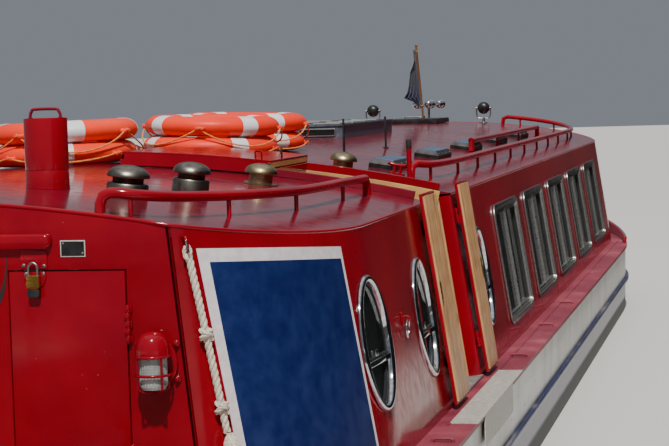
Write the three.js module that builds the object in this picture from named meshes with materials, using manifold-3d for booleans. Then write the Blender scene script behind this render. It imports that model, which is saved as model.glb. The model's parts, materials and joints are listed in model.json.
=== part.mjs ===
import * as THREE from "three";
import { mergeVertices } from "three/addons/utils/BufferGeometryUtils.js";
import Module from "manifold-3d";

const wasm = await Module();
wasm.setup();

// A wide-beam steel canal trip boat of narrowboat type, with its cabin open at a side hatch.
// Millimetres. +X starboard, +Y to the bow, +Z up. The flat bottom stands on z = 0.

// Hull
const STERN_Y = -8200;
const BOW_Y = 8200;
const HALF_BEAM = 1988;
const FLARE = 25;
const BOTTOM_TOP = 130;
const COUNTER_Z = 500;
const DECK_Z = 1150;
const DECK_PLATE = 20;
const HULL_WALL = 50;
const HULL_AFT_Y = -5600;
const HULL_FORE_Y = 4200;
const SWIM_START_Y = -5400;
const SWIM_END_Y = -7480;
const SWIM_END_HALF = 70;
const GUNWALE_LIP = 12;
const FIT = 0.3;
const SEAT = 1;

// Cabin
const ROOF_EDGE_Z = 2050;
const ROOF_HALF = 1700;
const CABIN_LEAN = 131 / 900;
const CAMBER_R = 7563;
const ROOF_CROWN_Z = ROOF_EDGE_Z + CAMBER_R - Math.sqrt(CAMBER_R ** 2 - ROOF_HALF ** 2);
const CAMBER_Z = ROOF_CROWN_Z - CAMBER_R;
const ROOF_PLATE = 45;
const WALL = 60;
const CABIN_AFT_Y = -6750;
const CABIN_FORE_Y = 5950;
// The rounded corners: how far the round starts from the bulkhead, and its two half axes,
// at the roof's edge and at the deck.
const CORNER = {
  roof: { start: 1150, along: 1180, across: 553 },
  deck: { start: 1150, along: 1212, across: 690 },
};

// Side doors and the hatch in the roof above them
const DOOR_AFT_Y = -4165;
const DOOR_FORE_Y = -3490;
const DOOR_BOTTOM = 18;
const DOOR_TOP = 955;
const HATCH_PORT_X = 985;
const HATCH_END_X = 1640;

const group = new THREE.Group();

function metal(color, roughness = 0.4, metalness = 0.3) {
  return new THREE.MeshStandardMaterial({ color, roughness, metalness });
}
const RED = metal(0x7c0c1c, 0.25);
const DEEP_RED = metal(0x5c0a18, 0.3);
const BLACK = metal(0x17181a, 0.6);
const WHITE = metal(0xc9c9c6, 0.5);
const BLUE = metal(0x1d2a55, 0.4);
const ALUMINIUM = metal(0xa7a9a8, 0.35, 0.9);
const STEEL = metal(0xb4b6b8, 0.3, 0.9);
const BRONZE = metal(0x7d7560, 0.45, 0.8);
const TIMBER = metal(0xb98a52, 0.6, 0);
const DARK_WOOD = metal(0x5a3a22, 0.6, 0);
const ORANGE = metal(0xe2401c, 0.5, 0);
const ROPE = metal(0xd8d2c2, 0.9, 0);
const NAVY = metal(0x15183a, 0.9, 0);
const GLASS = metal(0x1c2224, 0.1, 0);
const IRON = metal(0x2f3a33, 0.7, 0.6);

function toSolid(geometry) {
  const bare = geometry.index ? geometry.clone() : geometry.clone();
  bare.deleteAttribute("normal");
  if (bare.getAttribute("uv")) bare.deleteAttribute("uv");
  const merged = mergeVertices(bare, 1e-3);
  const index = merged.index.array;
  const kept = [];
  for (let i = 0; i < index.length; i += 3) {
    const [a, b, c] = [index[i], index[i + 1], index[i + 2]];
    if (a !== b && b !== c && a !== c) kept.push(a, b, c);
  }
  const vertProperties = new Float32Array(merged.getAttribute("position").array);
  const triVerts = new Uint32Array(kept);
  return new wasm.Manifold(new wasm.Mesh({ numProp: 3, vertProperties, triVerts }));
}

function toGeometry(solid) {
  const mesh = solid.getMesh();
  const geometry = new THREE.BufferGeometry();
  const points = new Float32Array((mesh.vertProperties.length / mesh.numProp) * 3);
  for (let i = 0; i < points.length / 3; i += 1) {
    for (let k = 0; k < 3; k += 1) points[3 * i + k] = mesh.vertProperties[mesh.numProp * i + k];
  }
  geometry.setAttribute("position", new THREE.BufferAttribute(points, 3));
  geometry.setIndex(new THREE.BufferAttribute(new Uint32Array(mesh.triVerts), 1));
  const flat = geometry.toNonIndexed();
  flat.computeVertexNormals();
  return flat;
}

function put(name, shape, material) {
  const geometry = shape.isBufferGeometry ? shape : toGeometry(shape);
  const mesh = new THREE.Mesh(geometry, material);
  mesh.name = name;
  group.add(mesh);
}

function box(x0, x1, y0, y1, z0, z1) {
  const geometry = new THREE.BoxGeometry(x1 - x0, y1 - y0, z1 - z0);
  geometry.translate((x0 + x1) / 2, (y0 + y1) / 2, (z0 + z1) / 2);
  return toSolid(geometry);
}

function rod(from, to, radius, sides = 12) {
  const a = new THREE.Vector3(...from);
  const b = new THREE.Vector3(...to);
  const geometry = new THREE.CylinderGeometry(radius, radius, a.distanceTo(b), sides);
  const heading = b.clone().sub(a).normalize();
  const turn = new THREE.Quaternion().setFromUnitVectors(new THREE.Vector3(0, 1, 0), heading);
  geometry.applyQuaternion(turn);
  geometry.translate((a.x + b.x) / 2, (a.y + b.y) / 2, (a.z + b.z) / 2);
  return toSolid(geometry);
}

function lathe(profile, centre, sides = 20) {
  const geometry = new THREE.LatheGeometry(profile.map(([r, z]) => new THREE.Vector2(r, z)), sides);
  geometry.rotateX(Math.PI / 2);
  geometry.translate(...centre);
  return toSolid(geometry);
}

// A round bar through a list of points, its rings square to the line, its ends flat
function sweep(places, radius, sides = 8) {
  const line = places.map((p) => new THREE.Vector3(...p));
  const count = line.length;
  const way = line.map((p, i) => {
    const [before, after] = [line[Math.max(i - 1, 0)], line[Math.min(i + 1, count - 1)]];
    return after.clone().sub(before).normalize();
  });
  let side = new THREE.Vector3(0.31, 0.17, 0.9).cross(way[0]).normalize();
  const points = [];
  for (let i = 0; i < count; i += 1) {
    side = side.clone().sub(way[i].clone().multiplyScalar(side.dot(way[i]))).normalize();
    const up = way[i].clone().cross(side);
    for (const turn of run(0, 2 * Math.PI, sides).slice(0, sides)) {
      const p = line[i].clone().addScaledVector(side, radius * Math.cos(turn));
      p.addScaledVector(up, radius * Math.sin(turn));
      points.push(p.x, p.y, p.z);
    }
  }
  const faces = [];
  for (let i = 0; i + 1 < count; i += 1) {
    for (let k = 0; k < sides; k += 1) {
      const [p, q] = [i * sides + k, i * sides + ((k + 1) % sides)];
      faces.push(p, q, q + sides, p, q + sides, p + sides);
    }
  }
  const end = (count - 1) * sides;
  for (let k = 1; k + 1 < sides; k += 1) faces.push(0, k + 1, k, end, end + k, end + k + 1);
  const geometry = new THREE.BufferGeometry();
  geometry.setAttribute("position", new THREE.BufferAttribute(new Float32Array(points), 3));
  geometry.setIndex(faces);
  return toSolid(geometry);
}

// Points along a smooth line through a few places
function smooth(places, steps) {
  const line = new THREE.CatmullRomCurve3(places.map((p) => new THREE.Vector3(...p)), false, "centripetal");
  return line.getSpacedPoints(steps).map((p) => [p.x, p.y, p.z]);
}

function together(solids) {
  return solids.reduce((sum, solid) => sum.add(solid));
}

// A closed solid from level outlines. Each level is the starboard half, from stern to bow.
function stack(levels) {
  const count = levels[0].length;
  const points = [];
  const faces = [];
  const at = (level, i, side) => (level * 2 + side) * count + i;
  for (const level of levels) {
    for (const p of level) points.push(p[0], p[1], p[2]);
    for (const p of level) points.push(-p[0], p[1], p[2]);
  }
  const quad = (a, b, c, d) => faces.push(a, b, c, a, c, d);
  const top = levels.length - 1;
  for (let k = 0; k < top; k += 1) {
    for (let i = 0; i + 1 < count; i += 1) {
      quad(at(k, i, 0), at(k, i + 1, 0), at(k + 1, i + 1, 0), at(k + 1, i, 0));
      quad(at(k, i + 1, 1), at(k, i, 1), at(k + 1, i, 1), at(k + 1, i + 1, 1));
    }
    quad(at(k, 0, 1), at(k, 0, 0), at(k + 1, 0, 0), at(k + 1, 0, 1));
    const e = count - 1;
    quad(at(k, e, 0), at(k, e, 1), at(k + 1, e, 1), at(k + 1, e, 0));
  }
  for (let i = 0; i + 1 < count; i += 1) {
    quad(at(0, i, 0), at(0, i, 1), at(0, i + 1, 1), at(0, i + 1, 0));
    quad(at(top, i, 1), at(top, i, 0), at(top, i + 1, 0), at(top, i + 1, 1));
  }
  const geometry = new THREE.BufferGeometry();
  geometry.setAttribute("position", new THREE.BufferAttribute(new Float32Array(points), 3));
  geometry.setIndex(faces);
  return toSolid(geometry);
}

// An ordered run of numbers from a to b
function run(a, b, steps) {
  return Array.from({ length: steps + 1 }, (_, i) => a + ((b - a) * i) / steps);
}

// Hull outlines: starboard half-breadths at height z, moved in by inset
const END_STEPS = 9;
const STEM_RAKE = 0.22;

function bowHalf(z, inset) {
  const tip = BOW_Y - inset - STEM_RAKE * Math.max(0, DECK_Z - z) - (z < BOTTOM_TOP ? 40 : 0);
  const wide = HALF_BEAM - FLARE * (1 - z / DECK_Z) - inset;
  return run(0, Math.PI / 2, END_STEPS).map((t) => {
    const y = HULL_FORE_Y + (tip - HULL_FORE_Y) * Math.sin(t);
    return [wide * Math.cos(t) ** 1.25, y, z];
  });
}

function counterHalf(z, inset) {
  const wide = HALF_BEAM - FLARE * (1 - z / DECK_Z) - inset;
  const tip = STERN_Y + inset;
  return run(Math.PI / 2, 0, END_STEPS).map((t) => {
    const y = HULL_AFT_Y + (tip - HULL_AFT_Y) * Math.sin(t);
    return [wide * Math.cos(t) ** 0.92, y, z];
  });
}

function swimHalf(z, inset) {
  const wide = HALF_BEAM - FLARE * (1 - z / DECK_Z) - inset;
  return run(1, 0, END_STEPS).map((t) => {
    const y = SWIM_START_Y + (SWIM_END_Y + inset - SWIM_START_Y) * t;
    const narrow = Math.max(SWIM_END_HALF - inset, 4);
    return [narrow + (wide - narrow) * (1 - t ** 1.8), y, z];
  });
}

const upperHull = (z, inset = 0) => [...counterHalf(z, inset), ...bowHalf(z, inset)];
const lowerHull = (z, inset = 0) => [...swimHalf(z, inset), ...bowHalf(z, inset)];
const DECK_UNDER = DECK_Z - DECK_PLATE;

const hullSkin = stack([lowerHull(BOTTOM_TOP + FIT), lowerHull(COUNTER_Z)])
  .add(stack([upperHull(COUNTER_Z), upperHull(DECK_UNDER - FIT)]))
  .subtract(stack([lowerHull(BOTTOM_TOP + FIT / 2, HULL_WALL), lowerHull(COUNTER_Z + 40, HULL_WALL)]))
  .subtract(stack([upperHull(COUNTER_Z + 20, HULL_WALL), upperHull(DECK_Z, HULL_WALL)]));

// Rubbing strakes below the white band, one along each side
const WIDE = 2100;
const STERN_CUT = -5000;
const STRAKE_Z = 862;
const STRAKE_HIGH = 36;
const STRAKE_OUT = 28;
const STRAKE_ENDS = [-5900, 5600];
const strakeLevels = [-1, 1].map((up) => upperHull(STRAKE_Z + (up * STRAKE_HIGH) / 2, -STRAKE_OUT));
const strakes = stack(strakeLevels)
  .subtract(stack([upperHull(STRAKE_Z - STRAKE_HIGH, 1), upperHull(STRAKE_Z + STRAKE_HIGH, 1)]))
  .intersect(box(-WIDE, WIDE, STRAKE_ENDS[0], STRAKE_ENDS[1], 0, 3000));
const hullWalls = hullSkin.add(strakes);

const sternCut = box(-WIDE, WIDE, STERN_Y - 500, STERN_CUT - FIT / 2, 0, 3000);
const bowCut = box(-WIDE, WIDE, HULL_FORE_Y + FIT / 2, BOW_Y + 500, 0, 3000);
const midCut = (x0, x1) => box(x0, x1, STERN_CUT + FIT / 2, HULL_FORE_Y - FIT / 2, 0, 3000);

// Stern gear: the rudder's heel bar, the stern tube, and the holes for the stock
const STOCK_Y = -7860;
const STOCK_R = 25;
const STOCK_HOLE_R = 25.3;
const SHAFT_Z = 290;
const SHAFT_R = 21.5;
const STERN_TUBE_R = 42;
const STERN_TUBE_END = -7560;
const stockHole = rod([0, STOCK_Y, 20], [0, STOCK_Y, DECK_Z + 100], STOCK_HOLE_R, 24);
const heel = box(-60, 60, STOCK_Y - 60, SWIM_END_Y + 10, 0, 50);
const sternTube = rod([0, STERN_TUBE_END, SHAFT_Z], [0, SWIM_END_Y + 260, SHAFT_Z], STERN_TUBE_R, 16);
const shaftBore = rod([0, STERN_TUBE_END - 50, SHAFT_Z], [0, SWIM_END_Y, SHAFT_Z], SHAFT_R + 0.5, 16);

const stern = hullWalls.intersect(sternCut).add(sternTube);
put("hull_stern", stern.subtract(shaftBore).subtract(stockHole), BLUE);
put("hull_bow", hullWalls.intersect(bowCut), BLUE);
put("hull_side_starboard", hullWalls.intersect(midCut(0, WIDE)), BLUE);
put("hull_side_port", hullWalls.intersect(midCut(-WIDE, 0)), BLUE);

const bottom = stack([lowerHull(0), lowerHull(BOTTOM_TOP)]).add(heel).subtract(stockHole);
put("hull_bottom", bottom, BLACK);

// Cabin outlines: starboard half-breadths of the cabin at height z, moved in by inset
const CORNER_STEPS = 7;

function cornerAt(z) {
  const t = (ROOF_EDGE_Z - z) / (ROOF_EDGE_Z - DECK_Z);
  const mix = (key) => CORNER.roof[key] + (CORNER.deck[key] - CORNER.roof[key]) * t;
  return { start: mix("start"), along: mix("along"), across: mix("across") };
}

const cabinHalfWidth = (z) => ROOF_HALF + CABIN_LEAN * (ROOF_EDGE_Z - z);

// The cabin side's outer face: x at a given y and z on starboard
function sideX(y, z) {
  const { start, along, across } = cornerAt(z);
  const past = Math.max(0, CABIN_AFT_Y + start - y, y - (CABIN_FORE_Y - start));
  return cabinHalfWidth(z) - across * (1 - Math.sqrt(Math.max(0, 1 - (past / along) ** 2)));
}

function cabinHalf(z, inset = 0) {
  const { start, along } = cornerAt(z);
  const turn = Math.asin(start / along);
  const past = run(turn, 0, CORNER_STEPS).map((t) => along * Math.sin(t));
  const aft = past.map((p) => CABIN_AFT_Y + start - p);
  const fore = [...past].reverse().map((p) => CABIN_FORE_Y - start + p);
  const squeeze = (y) => Math.min(Math.max(y, CABIN_AFT_Y + inset), CABIN_FORE_Y - inset);
  return [...aft, ...fore].map((y) => [sideX(y, z) - inset * 1.02, squeeze(y), z]);
}

function cabinBlock(inset, low = DECK_Z, high = ROOF_CROWN_Z + 20) {
  return stack(run(low, high, 2).map((z) => cabinHalf(z, inset)));
}

// A band that follows the roof's camber between two heights above its top face
function camberBand(low, high, x0, x1, y0, y1, steps = 28) {
  const arc = (lift) => run(x0, x1, steps).map((x) => {
    return [x, CAMBER_Z + Math.sqrt((CAMBER_R + lift) ** 2 - x ** 2)];
  });
  const upper = arc(high);
  const lower = low === null ? [[x0, 0], [x1, 0]] : arc(low);
  const shape = new THREE.Shape([...lower, ...upper.reverse()].map(([x, z]) => new THREE.Vector2(x, z)));
  const geometry = new THREE.ExtrudeGeometry(shape, { depth: y1 - y0, bevelEnabled: false });
  geometry.rotateX(Math.PI / 2);
  geometry.translate(0, y1, 0);
  return toSolid(geometry);
}

const roofZ = (x) => CAMBER_Z + Math.sqrt(CAMBER_R ** 2 - x ** 2);

const underRoof = camberBand(null, -ROOF_PLATE - FIT, -WIDE, WIDE, STERN_Y, BOW_Y);
const cabinInside = cabinBlock(WALL, DECK_Z - 50, ROOF_CROWN_Z + 60);
const cabinWalls = cabinBlock(0, DECK_Z).subtract(cabinInside).intersect(underRoof);

// A frame on the cabin side: u runs to the bow, v up along the side, n outwards
function sideFrame(y, z, side = 1) {
  const d = 5;
  const here = new THREE.Vector3(sideX(y, z), y, z);
  const u = new THREE.Vector3(sideX(y + d, z) - sideX(y - d, z), 2 * d, 0).normalize();
  const v = new THREE.Vector3(sideX(y, z + d) - sideX(y, z - d), 0, 2 * d).normalize();
  const n = u.clone().cross(v).normalize();
  v.copy(n.clone().cross(u));
  const matrix = new THREE.Matrix4().makeBasis(u, v, n);
  matrix.setPosition(here);
  return { matrix, mirror: side < 0 };
}

// An outline in u, v made thick from n0 to n1, placed by a frame
function onSide(outline, holes, n0, n1, frame) {
  const shape = new THREE.Shape(outline.map(([u, v]) => new THREE.Vector2(u, v)));
  for (const hole of holes) shape.holes.push(new THREE.Path(hole.map(([u, v]) => new THREE.Vector2(u, v))));
  const geometry = new THREE.ExtrudeGeometry(shape, { depth: n1 - n0, bevelEnabled: false });
  geometry.translate(0, 0, n0);
  geometry.applyMatrix4(frame.matrix);
  const solid = toSolid(geometry);
  return frame.mirror ? solid.mirror([1, 0, 0]) : solid;
}

function ellipse(halfWide, halfHigh, steps = 18) {
  const turns = run(0, 2 * Math.PI, steps).slice(0, steps);
  return turns.map((t) => [halfWide * Math.cos(t), halfHigh * Math.sin(t)]);
}

function roundRect(halfWide, halfHigh, radius, steps = 1) {
  const corners = [[1, -1, -Math.PI / 2], [1, 1, 0], [-1, 1, Math.PI / 2], [-1, -1, Math.PI]];
  return corners.flatMap(([sx, sy, from]) => run(from, from + Math.PI / 2, steps).map((t) => {
    return [sx * (halfWide - radius) + radius * Math.cos(t), sy * (halfHigh - radius) + radius * Math.sin(t)];
  }));
}

// Windows and portholes: the place of each along the boat, the same on both sides
const WINDOW = { halfWide: 522, halfHigh: 335, radius: 60, z: 1575, first: -1668, pitch: 1377, count: 5 };
const PORTHOLE = { halfWide: 197, halfHigh: 262, lip: 34, transom: -66 };
const AFT_PORTHOLES = [[-5755, 1608], [-4706, 1585]];
const STARBOARD_PORTHOLES = [...AFT_PORTHOLES, [-2887, 1585]];
const PORT_PORTHOLES = [...AFT_PORTHOLES, [-3640, 1585], [-2574, 1585]];
const windowPlaces = run(WINDOW.first, WINDOW.first + WINDOW.pitch * (WINDOW.count - 1), WINDOW.count - 1);
const LIP = 22;
const PROUD = 12;

const openings = [];
const frames = [];
for (const side of [1, -1]) {
  for (const y of windowPlaces) {
    const frame = sideFrame(y, WINDOW.z, side);
    const { halfWide, halfHigh, radius } = WINDOW;
    const cut = roundRect(halfWide - LIP, halfHigh - LIP, radius - LIP);
    const inner = roundRect(halfWide - 2 * LIP, halfHigh - 2 * LIP, radius - LIP);
    openings.push(onSide(cut, [], -WALL - 60, 60, frame));
    const bar = roundRect(20, halfHigh - 1.5 * LIP, 4, 1);
    frames.push(onSide(roundRect(halfWide, halfHigh, radius), [inner], -4, PROUD, frame)
      .add(onSide(bar, [], -8, PROUD - 2, frame)));
  }
  for (const [y, z] of side > 0 ? STARBOARD_PORTHOLES : PORT_PORTHOLES) {
    const frame = sideFrame(y, z, side);
    const { halfWide, halfHigh, lip } = PORTHOLE;
    openings.push(onSide(ellipse(halfWide - lip / 2, halfHigh - lip / 2), [], -WALL - 60, 60, frame));
    const bar = roundRect(halfWide - lip * 0.8, 9, 3, 1).map(([u, v]) => [u, v + PORTHOLE.transom]);
    const inner = ellipse(halfWide - lip, halfHigh - lip);
    frames.push(onSide(ellipse(halfWide, halfHigh), [inner], -12, 5 + PROUD, frame)
      .add(onSide(bar, [], -4, 5 + PROUD - 3, frame)));
  }
}

const sideSkin = together([openings.reduce((skin, cut) => skin.subtract(cut), cabinWalls), ...frames]);
const ENDS = WALL + FIT;
const between = (x0, x1, y0, y1) => box(x0, x1, y0, y1, 0, 3000);
const SIDE_AFT = CABIN_AFT_Y + ENDS;
const SIDE_FORE = CABIN_FORE_Y - ENDS;
put("cabin_side_port", sideSkin.intersect(between(-WIDE, 0, SIDE_AFT, SIDE_FORE)), RED);

// The windows' glass, five panes on each side held by the inner window board
const PANE = { outer: -24, inner: -30 };
const BOARD = { n0: -(WALL + 92), n1: -(WALL + 2), below: 14, above: 12 };
const sill = LIP - WINDOW.halfHigh;
const firstEdge = windowPlaces[0] - WINDOW.halfWide;
const lastEdge = windowPlaces[WINDOW.count - 1] + WINDOW.halfWide;

function glazing() {
  const middle = (firstEdge + lastEdge) / 2;
  const long = (lastEdge - firstEdge) / 2;
  const strip = (half, low, high) => [[-half, low], [half, low], [half, high], [-half, high]];
  const outline = strip(long, sill - BOARD.below, sill + BOARD.above);
  const board = onSide(outline, [], BOARD.n0, BOARD.n1, sideFrame(middle, WINDOW.z));
  return together([board, ...windowPlaces.flatMap((y) => {
    const frame = sideFrame(y, WINDOW.z);
    const glass = roundRect(WINDOW.halfWide - LIP - FIT, WINDOW.halfHigh - LIP - FIT, WINDOW.radius - LIP);
    const tongue = strip(WINDOW.halfWide - WINDOW.radius, sill + FIT, sill + BOARD.above);
    const held = onSide(tongue, [], BOARD.n1 - 2, PANE.inner + 2, frame);
    return [onSide(glass, [], PANE.inner, PANE.outer, frame), held];
  })]);
}
put("glazing_starboard", glazing(), GLASS);
put("glazing_port", glazing().mirror([1, 0, 0]), GLASS);

// End bulkheads with their door openings
const DOOR_SILL = 1240;
const AFT_DOOR_TOP = 2000;
const AFT_DOOR_HALF = 450;
const LOCKER = { x0: 692, x1: 1112, z0: 1210, z1: 1988 };
const CLEAR = 5;
const doorway = (y0, y1) => box(-AFT_DOOR_HALF, AFT_DOOR_HALF, y0, y1, DOOR_SILL, AFT_DOOR_TOP);
const lockerHole = box(LOCKER.x0, LOCKER.x1, CABIN_AFT_Y - 50, CABIN_AFT_Y + WALL + 50, LOCKER.z0, LOCKER.z1);
const aftEnd = cabinBlock(0, DECK_Z).intersect(underRoof)
  .intersect(between(-WIDE, WIDE, CABIN_AFT_Y - 100, CABIN_AFT_Y + WALL));
const foreEnd = cabinBlock(0, DECK_Z).intersect(underRoof)
  .intersect(between(-WIDE, WIDE, CABIN_FORE_Y - WALL, CABIN_FORE_Y + 100));

// Hinges with an upright pin: knuckles in turn on the leaf and on the jamb
const KNUCKLE_R = 8;
const KNUCKLE_HIGH = 36;

function knuckles(axisX, axisY, heights, reach, lift) {
  return together(heights.map((z) => {
    const low = z + lift * (KNUCKLE_HIGH + FIT);
    const barrel = rod([axisX, axisY, low], [axisX, axisY, low + KNUCKLE_HIGH], KNUCKLE_R, 12);
    const [x0, x1, y0, y1] = reach;
    return barrel.add(box(x0, x1, y0, y1, low, low + KNUCKLE_HIGH));
  }));
}

// A pair of leaves in an end bulkhead. out is -1 at the stern and 1 at the bow.
const LEAF = 40;
const PIN_OUT = 12;
const LEAF_HINGES = [1330, 1850];

function endLeaf(faceY, out, side) {
  const inner = faceY - out * LEAF;
  const [y0, y1] = [Math.min(faceY, inner), Math.max(faceY, inner)];
  const x0 = side * 3;
  const x1 = side * (AFT_DOOR_HALF - CLEAR);
  const panel = box(Math.min(x0, x1), Math.max(x0, x1), y0, y1, DOOR_SILL + CLEAR, AFT_DOOR_TOP - CLEAR);
  const pinX = side * (AFT_DOOR_HALF + 3);
  const pinY = faceY + out * PIN_OUT;
  const inX = side * (AFT_DOOR_HALF - 40);
  const strapY = [faceY, faceY + out * (PIN_OUT - 4)].sort((a, b) => a - b);
  const strap = [Math.min(pinX, inX), Math.max(pinX, inX), strapY[0], strapY[1]];
  return panel.add(knuckles(pinX, pinY, LEAF_HINGES, strap, 0));
}

function endJamb(faceY, out, side) {
  const pinX = side * (AFT_DOOR_HALF + 3);
  const pinY = faceY + out * PIN_OUT;
  const outX = side * (AFT_DOOR_HALF + 45);
  const strapY = [faceY, faceY + out * (PIN_OUT - 4)].sort((a, b) => a - b);
  const strap = [Math.min(pinX, outX), Math.max(pinX, outX), strapY[0], strapY[1]];
  return knuckles(pinX, pinY, LEAF_HINGES, strap, 1);
}

const LOCKER_PIN = { x: LOCKER.x1 + 4, y: CABIN_AFT_Y - PIN_OUT };
const LOCKER_HINGES = [1330, 1800];
const lockerStrap = (x0, x1) => [x0, x1, CABIN_AFT_Y - PIN_OUT + 4, CABIN_AFT_Y];
const lockerPanel = box(LOCKER.x0 + CLEAR, LOCKER.x1 - CLEAR, CABIN_AFT_Y - 2, CABIN_AFT_Y + LEAF,
  LOCKER.z0 + CLEAR, LOCKER.z1 - CLEAR);
const lockerLeaf = lockerPanel
  .add(knuckles(LOCKER_PIN.x, LOCKER_PIN.y, LOCKER_HINGES, lockerStrap(LOCKER.x1 - 45, LOCKER_PIN.x), 0));

// The raised drip lip over the aft doors
const DRIP = { half: 856, z0: 2061, z1: 2112, out: 26 };
const dripLip = box(-DRIP.half, DRIP.half, CABIN_AFT_Y - DRIP.out, CABIN_AFT_Y + 10, DRIP.z0, DRIP.z1);

// Rope fender at the starboard quarter: its eye on the bulkhead's corner, the rope and the woven body
const FENDER = { topY: -6726, lowY: -6690, eyeZ: 2044, eyeR: 9, ropeR: 11, r: 38, low: 1160, high: 1430 };
const hang = (z, out) => {
  const t = (FENDER.eyeZ - z) / (FENDER.eyeZ - FENDER.high);
  const y = FENDER.topY + (FENDER.lowY - FENDER.topY) * Math.min(1, t);
  const p = new THREE.Vector3(0, 0, out).applyMatrix4(sideFrame(y, z).matrix);
  return [p.x, p.y, p.z];
};
const fenderEye = rod(hang(FENDER.eyeZ, -10), hang(FENDER.eyeZ, 40), FENDER.eyeR, 10);

put("cabin_end_aft", aftEnd.subtract(doorway(CABIN_AFT_Y - 200, CABIN_AFT_Y + 200)).subtract(lockerHole)
  .add(dripLip)
  .add(endJamb(CABIN_AFT_Y, -1, 1)).add(endJamb(CABIN_AFT_Y, -1, -1))
  .add(knuckles(LOCKER_PIN.x, LOCKER_PIN.y, LOCKER_HINGES, lockerStrap(LOCKER_PIN.x, LOCKER.x1 + 16), 1))
  .add(fenderEye), RED);
put("cabin_end_fore", foreEnd.subtract(doorway(CABIN_FORE_Y - 200, CABIN_FORE_Y + 200))
  .add(endJamb(CABIN_FORE_Y, 1, 1)).add(endJamb(CABIN_FORE_Y, 1, -1)), RED);
put("aft_door_starboard", endLeaf(CABIN_AFT_Y, -1, 1), RED);
put("aft_door_port", endLeaf(CABIN_AFT_Y, -1, -1), RED);
put("fore_door_starboard", endLeaf(CABIN_FORE_Y, 1, 1), RED);
put("fore_door_port", endLeaf(CABIN_FORE_Y, 1, -1), RED);
put("locker_door", lockerLeaf, RED);

// Roof with the side hatch cut from it
const FORE_HATCH = { half: 250, y0: 5150, y1: 5770, thick: 42 };
const roofPlate = cabinBlock(0, DECK_Z, ROOF_CROWN_Z + 60)
  .intersect(camberBand(-ROOF_PLATE, 0, -WIDE, WIDE, STERN_Y, BOW_Y))
  .subtract(between(HATCH_PORT_X, WIDE, DOOR_AFT_Y, DOOR_FORE_Y))
  .subtract(between(-FORE_HATCH.half + 20, FORE_HATCH.half - 20, FORE_HATCH.y0 + 60, FORE_HATCH.y1 - 40));

// The hatch: coamings that its cover rides on, and the cover slid to port
const COAMING = { high: 35, thick: 28, portX: 255 };
const COVER = { over: 44, travel: 665, long: 705, skirt: 10, low: 6, top: 72 };
const [coverY0, coverY1] = [DOOR_AFT_Y - COVER.over, DOOR_FORE_Y + COVER.over];
const coaming = (x0, x1, y0, y1, steps) => camberBand(SEAT, COAMING.high, x0, x1, y0, y1, steps);
const coamings = coaming(COAMING.portX, HATCH_END_X, DOOR_AFT_Y - COAMING.thick, DOOR_AFT_Y, 10)
  .add(coaming(COAMING.portX, HATCH_END_X, DOOR_FORE_Y, DOOR_FORE_Y + COAMING.thick, 10))
  .add(coaming(HATCH_PORT_X - COAMING.thick, HATCH_PORT_X, DOOR_AFT_Y - 5, DOOR_FORE_Y + 5, 1));
put("hatch_coamings", coamings, TIMBER);
const coverX1 = HATCH_END_X - COVER.travel;
const coverX0 = coverX1 - COVER.long;
const coverBand = (low, high, y0, y1) => camberBand(low, high, coverX0, coverX1, y0, y1, 6);
put("hatch_cover", coverBand(COAMING.high + SEAT, COVER.top, coverY0, coverY1)
  .add(coverBand(COVER.low, COVER.top, coverY0, coverY0 + COVER.skirt))
  .add(coverBand(COVER.low, COVER.top, coverY1 - COVER.skirt, coverY1)), RED);
const slab = box(-FORE_HATCH.half, FORE_HATCH.half, FORE_HATCH.y0, FORE_HATCH.y1,
  ROOF_CROWN_Z + FIT, ROOF_CROWN_Z + FORE_HATCH.thick);
put("fore_hatch", slab, BLACK);

// Side doors, open and laid back on the cabin side. The frame is flat on the straight side.
const doorFrame = sideFrame(0, DECK_Z);
const PIN_N = 12;
const SIDE_LEAF = { steel: 14, lining: 8, wide: 329 };
const doorHeights = [150, 760];

function slab3(u0, u1, v0, v1, n0, n1) {
  return onSide([[u0, v0], [u1, v0], [u1, v1], [u0, v1]], [], n0, n1, doorFrame);
}

function sideKnuckle(y, v, u0, u1) {
  const shape = new THREE.CylinderGeometry(KNUCKLE_R, KNUCKLE_R, KNUCKLE_HIGH, 12);
  shape.translate(y, v + KNUCKLE_HIGH / 2, PIN_N);
  shape.applyMatrix4(doorFrame.matrix);
  return toSolid(shape).add(slab3(u0, u1, v, v + KNUCKLE_HIGH, -3, PIN_N - 4));
}

function sideDoor(edgeY, away) {
  const clear = 5;
  const near = edgeY + away * clear;
  const far = edgeY + away * (clear + SIDE_LEAF.wide);
  const [u0, u1] = [Math.min(near, far), Math.max(near, far)];
  const n0 = 2 * PIN_N;
  const lining = SIDE_LEAF.steel + SIDE_LEAF.lining;
  const leaf = slab3(u0, u1, DOOR_BOTTOM, DOOR_TOP, n0, n0 + SIDE_LEAF.steel)
    .add(slab3(u0 + 12, u1 - 12, DOOR_BOTTOM + 12, DOOR_TOP - 12, n0 + SIDE_LEAF.steel - 1, n0 + lining));
  const straps = doorHeights.map((v) => {
    const shape = new THREE.CylinderGeometry(KNUCKLE_R, KNUCKLE_R, KNUCKLE_HIGH, 12);
    shape.translate(edgeY, v + KNUCKLE_HIGH / 2, PIN_N);
    shape.applyMatrix4(doorFrame.matrix);
    const ends = [edgeY, edgeY + away * 40].sort((a, b) => a - b);
    return toSolid(shape).add(slab3(ends[0], ends[1], v, v + KNUCKLE_HIGH, n0 - 10, n0 + 4));
  });
  return leaf.add(together(straps));
}

function sideJamb(edgeY, away) {
  return together(doorHeights.map((v) => {
    const ends = [edgeY, edgeY + away * 30].sort((a, b) => a - b);
    return sideKnuckle(edgeY, v + KNUCKLE_HIGH + FIT, ends[0], ends[1]);
  }));
}

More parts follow.
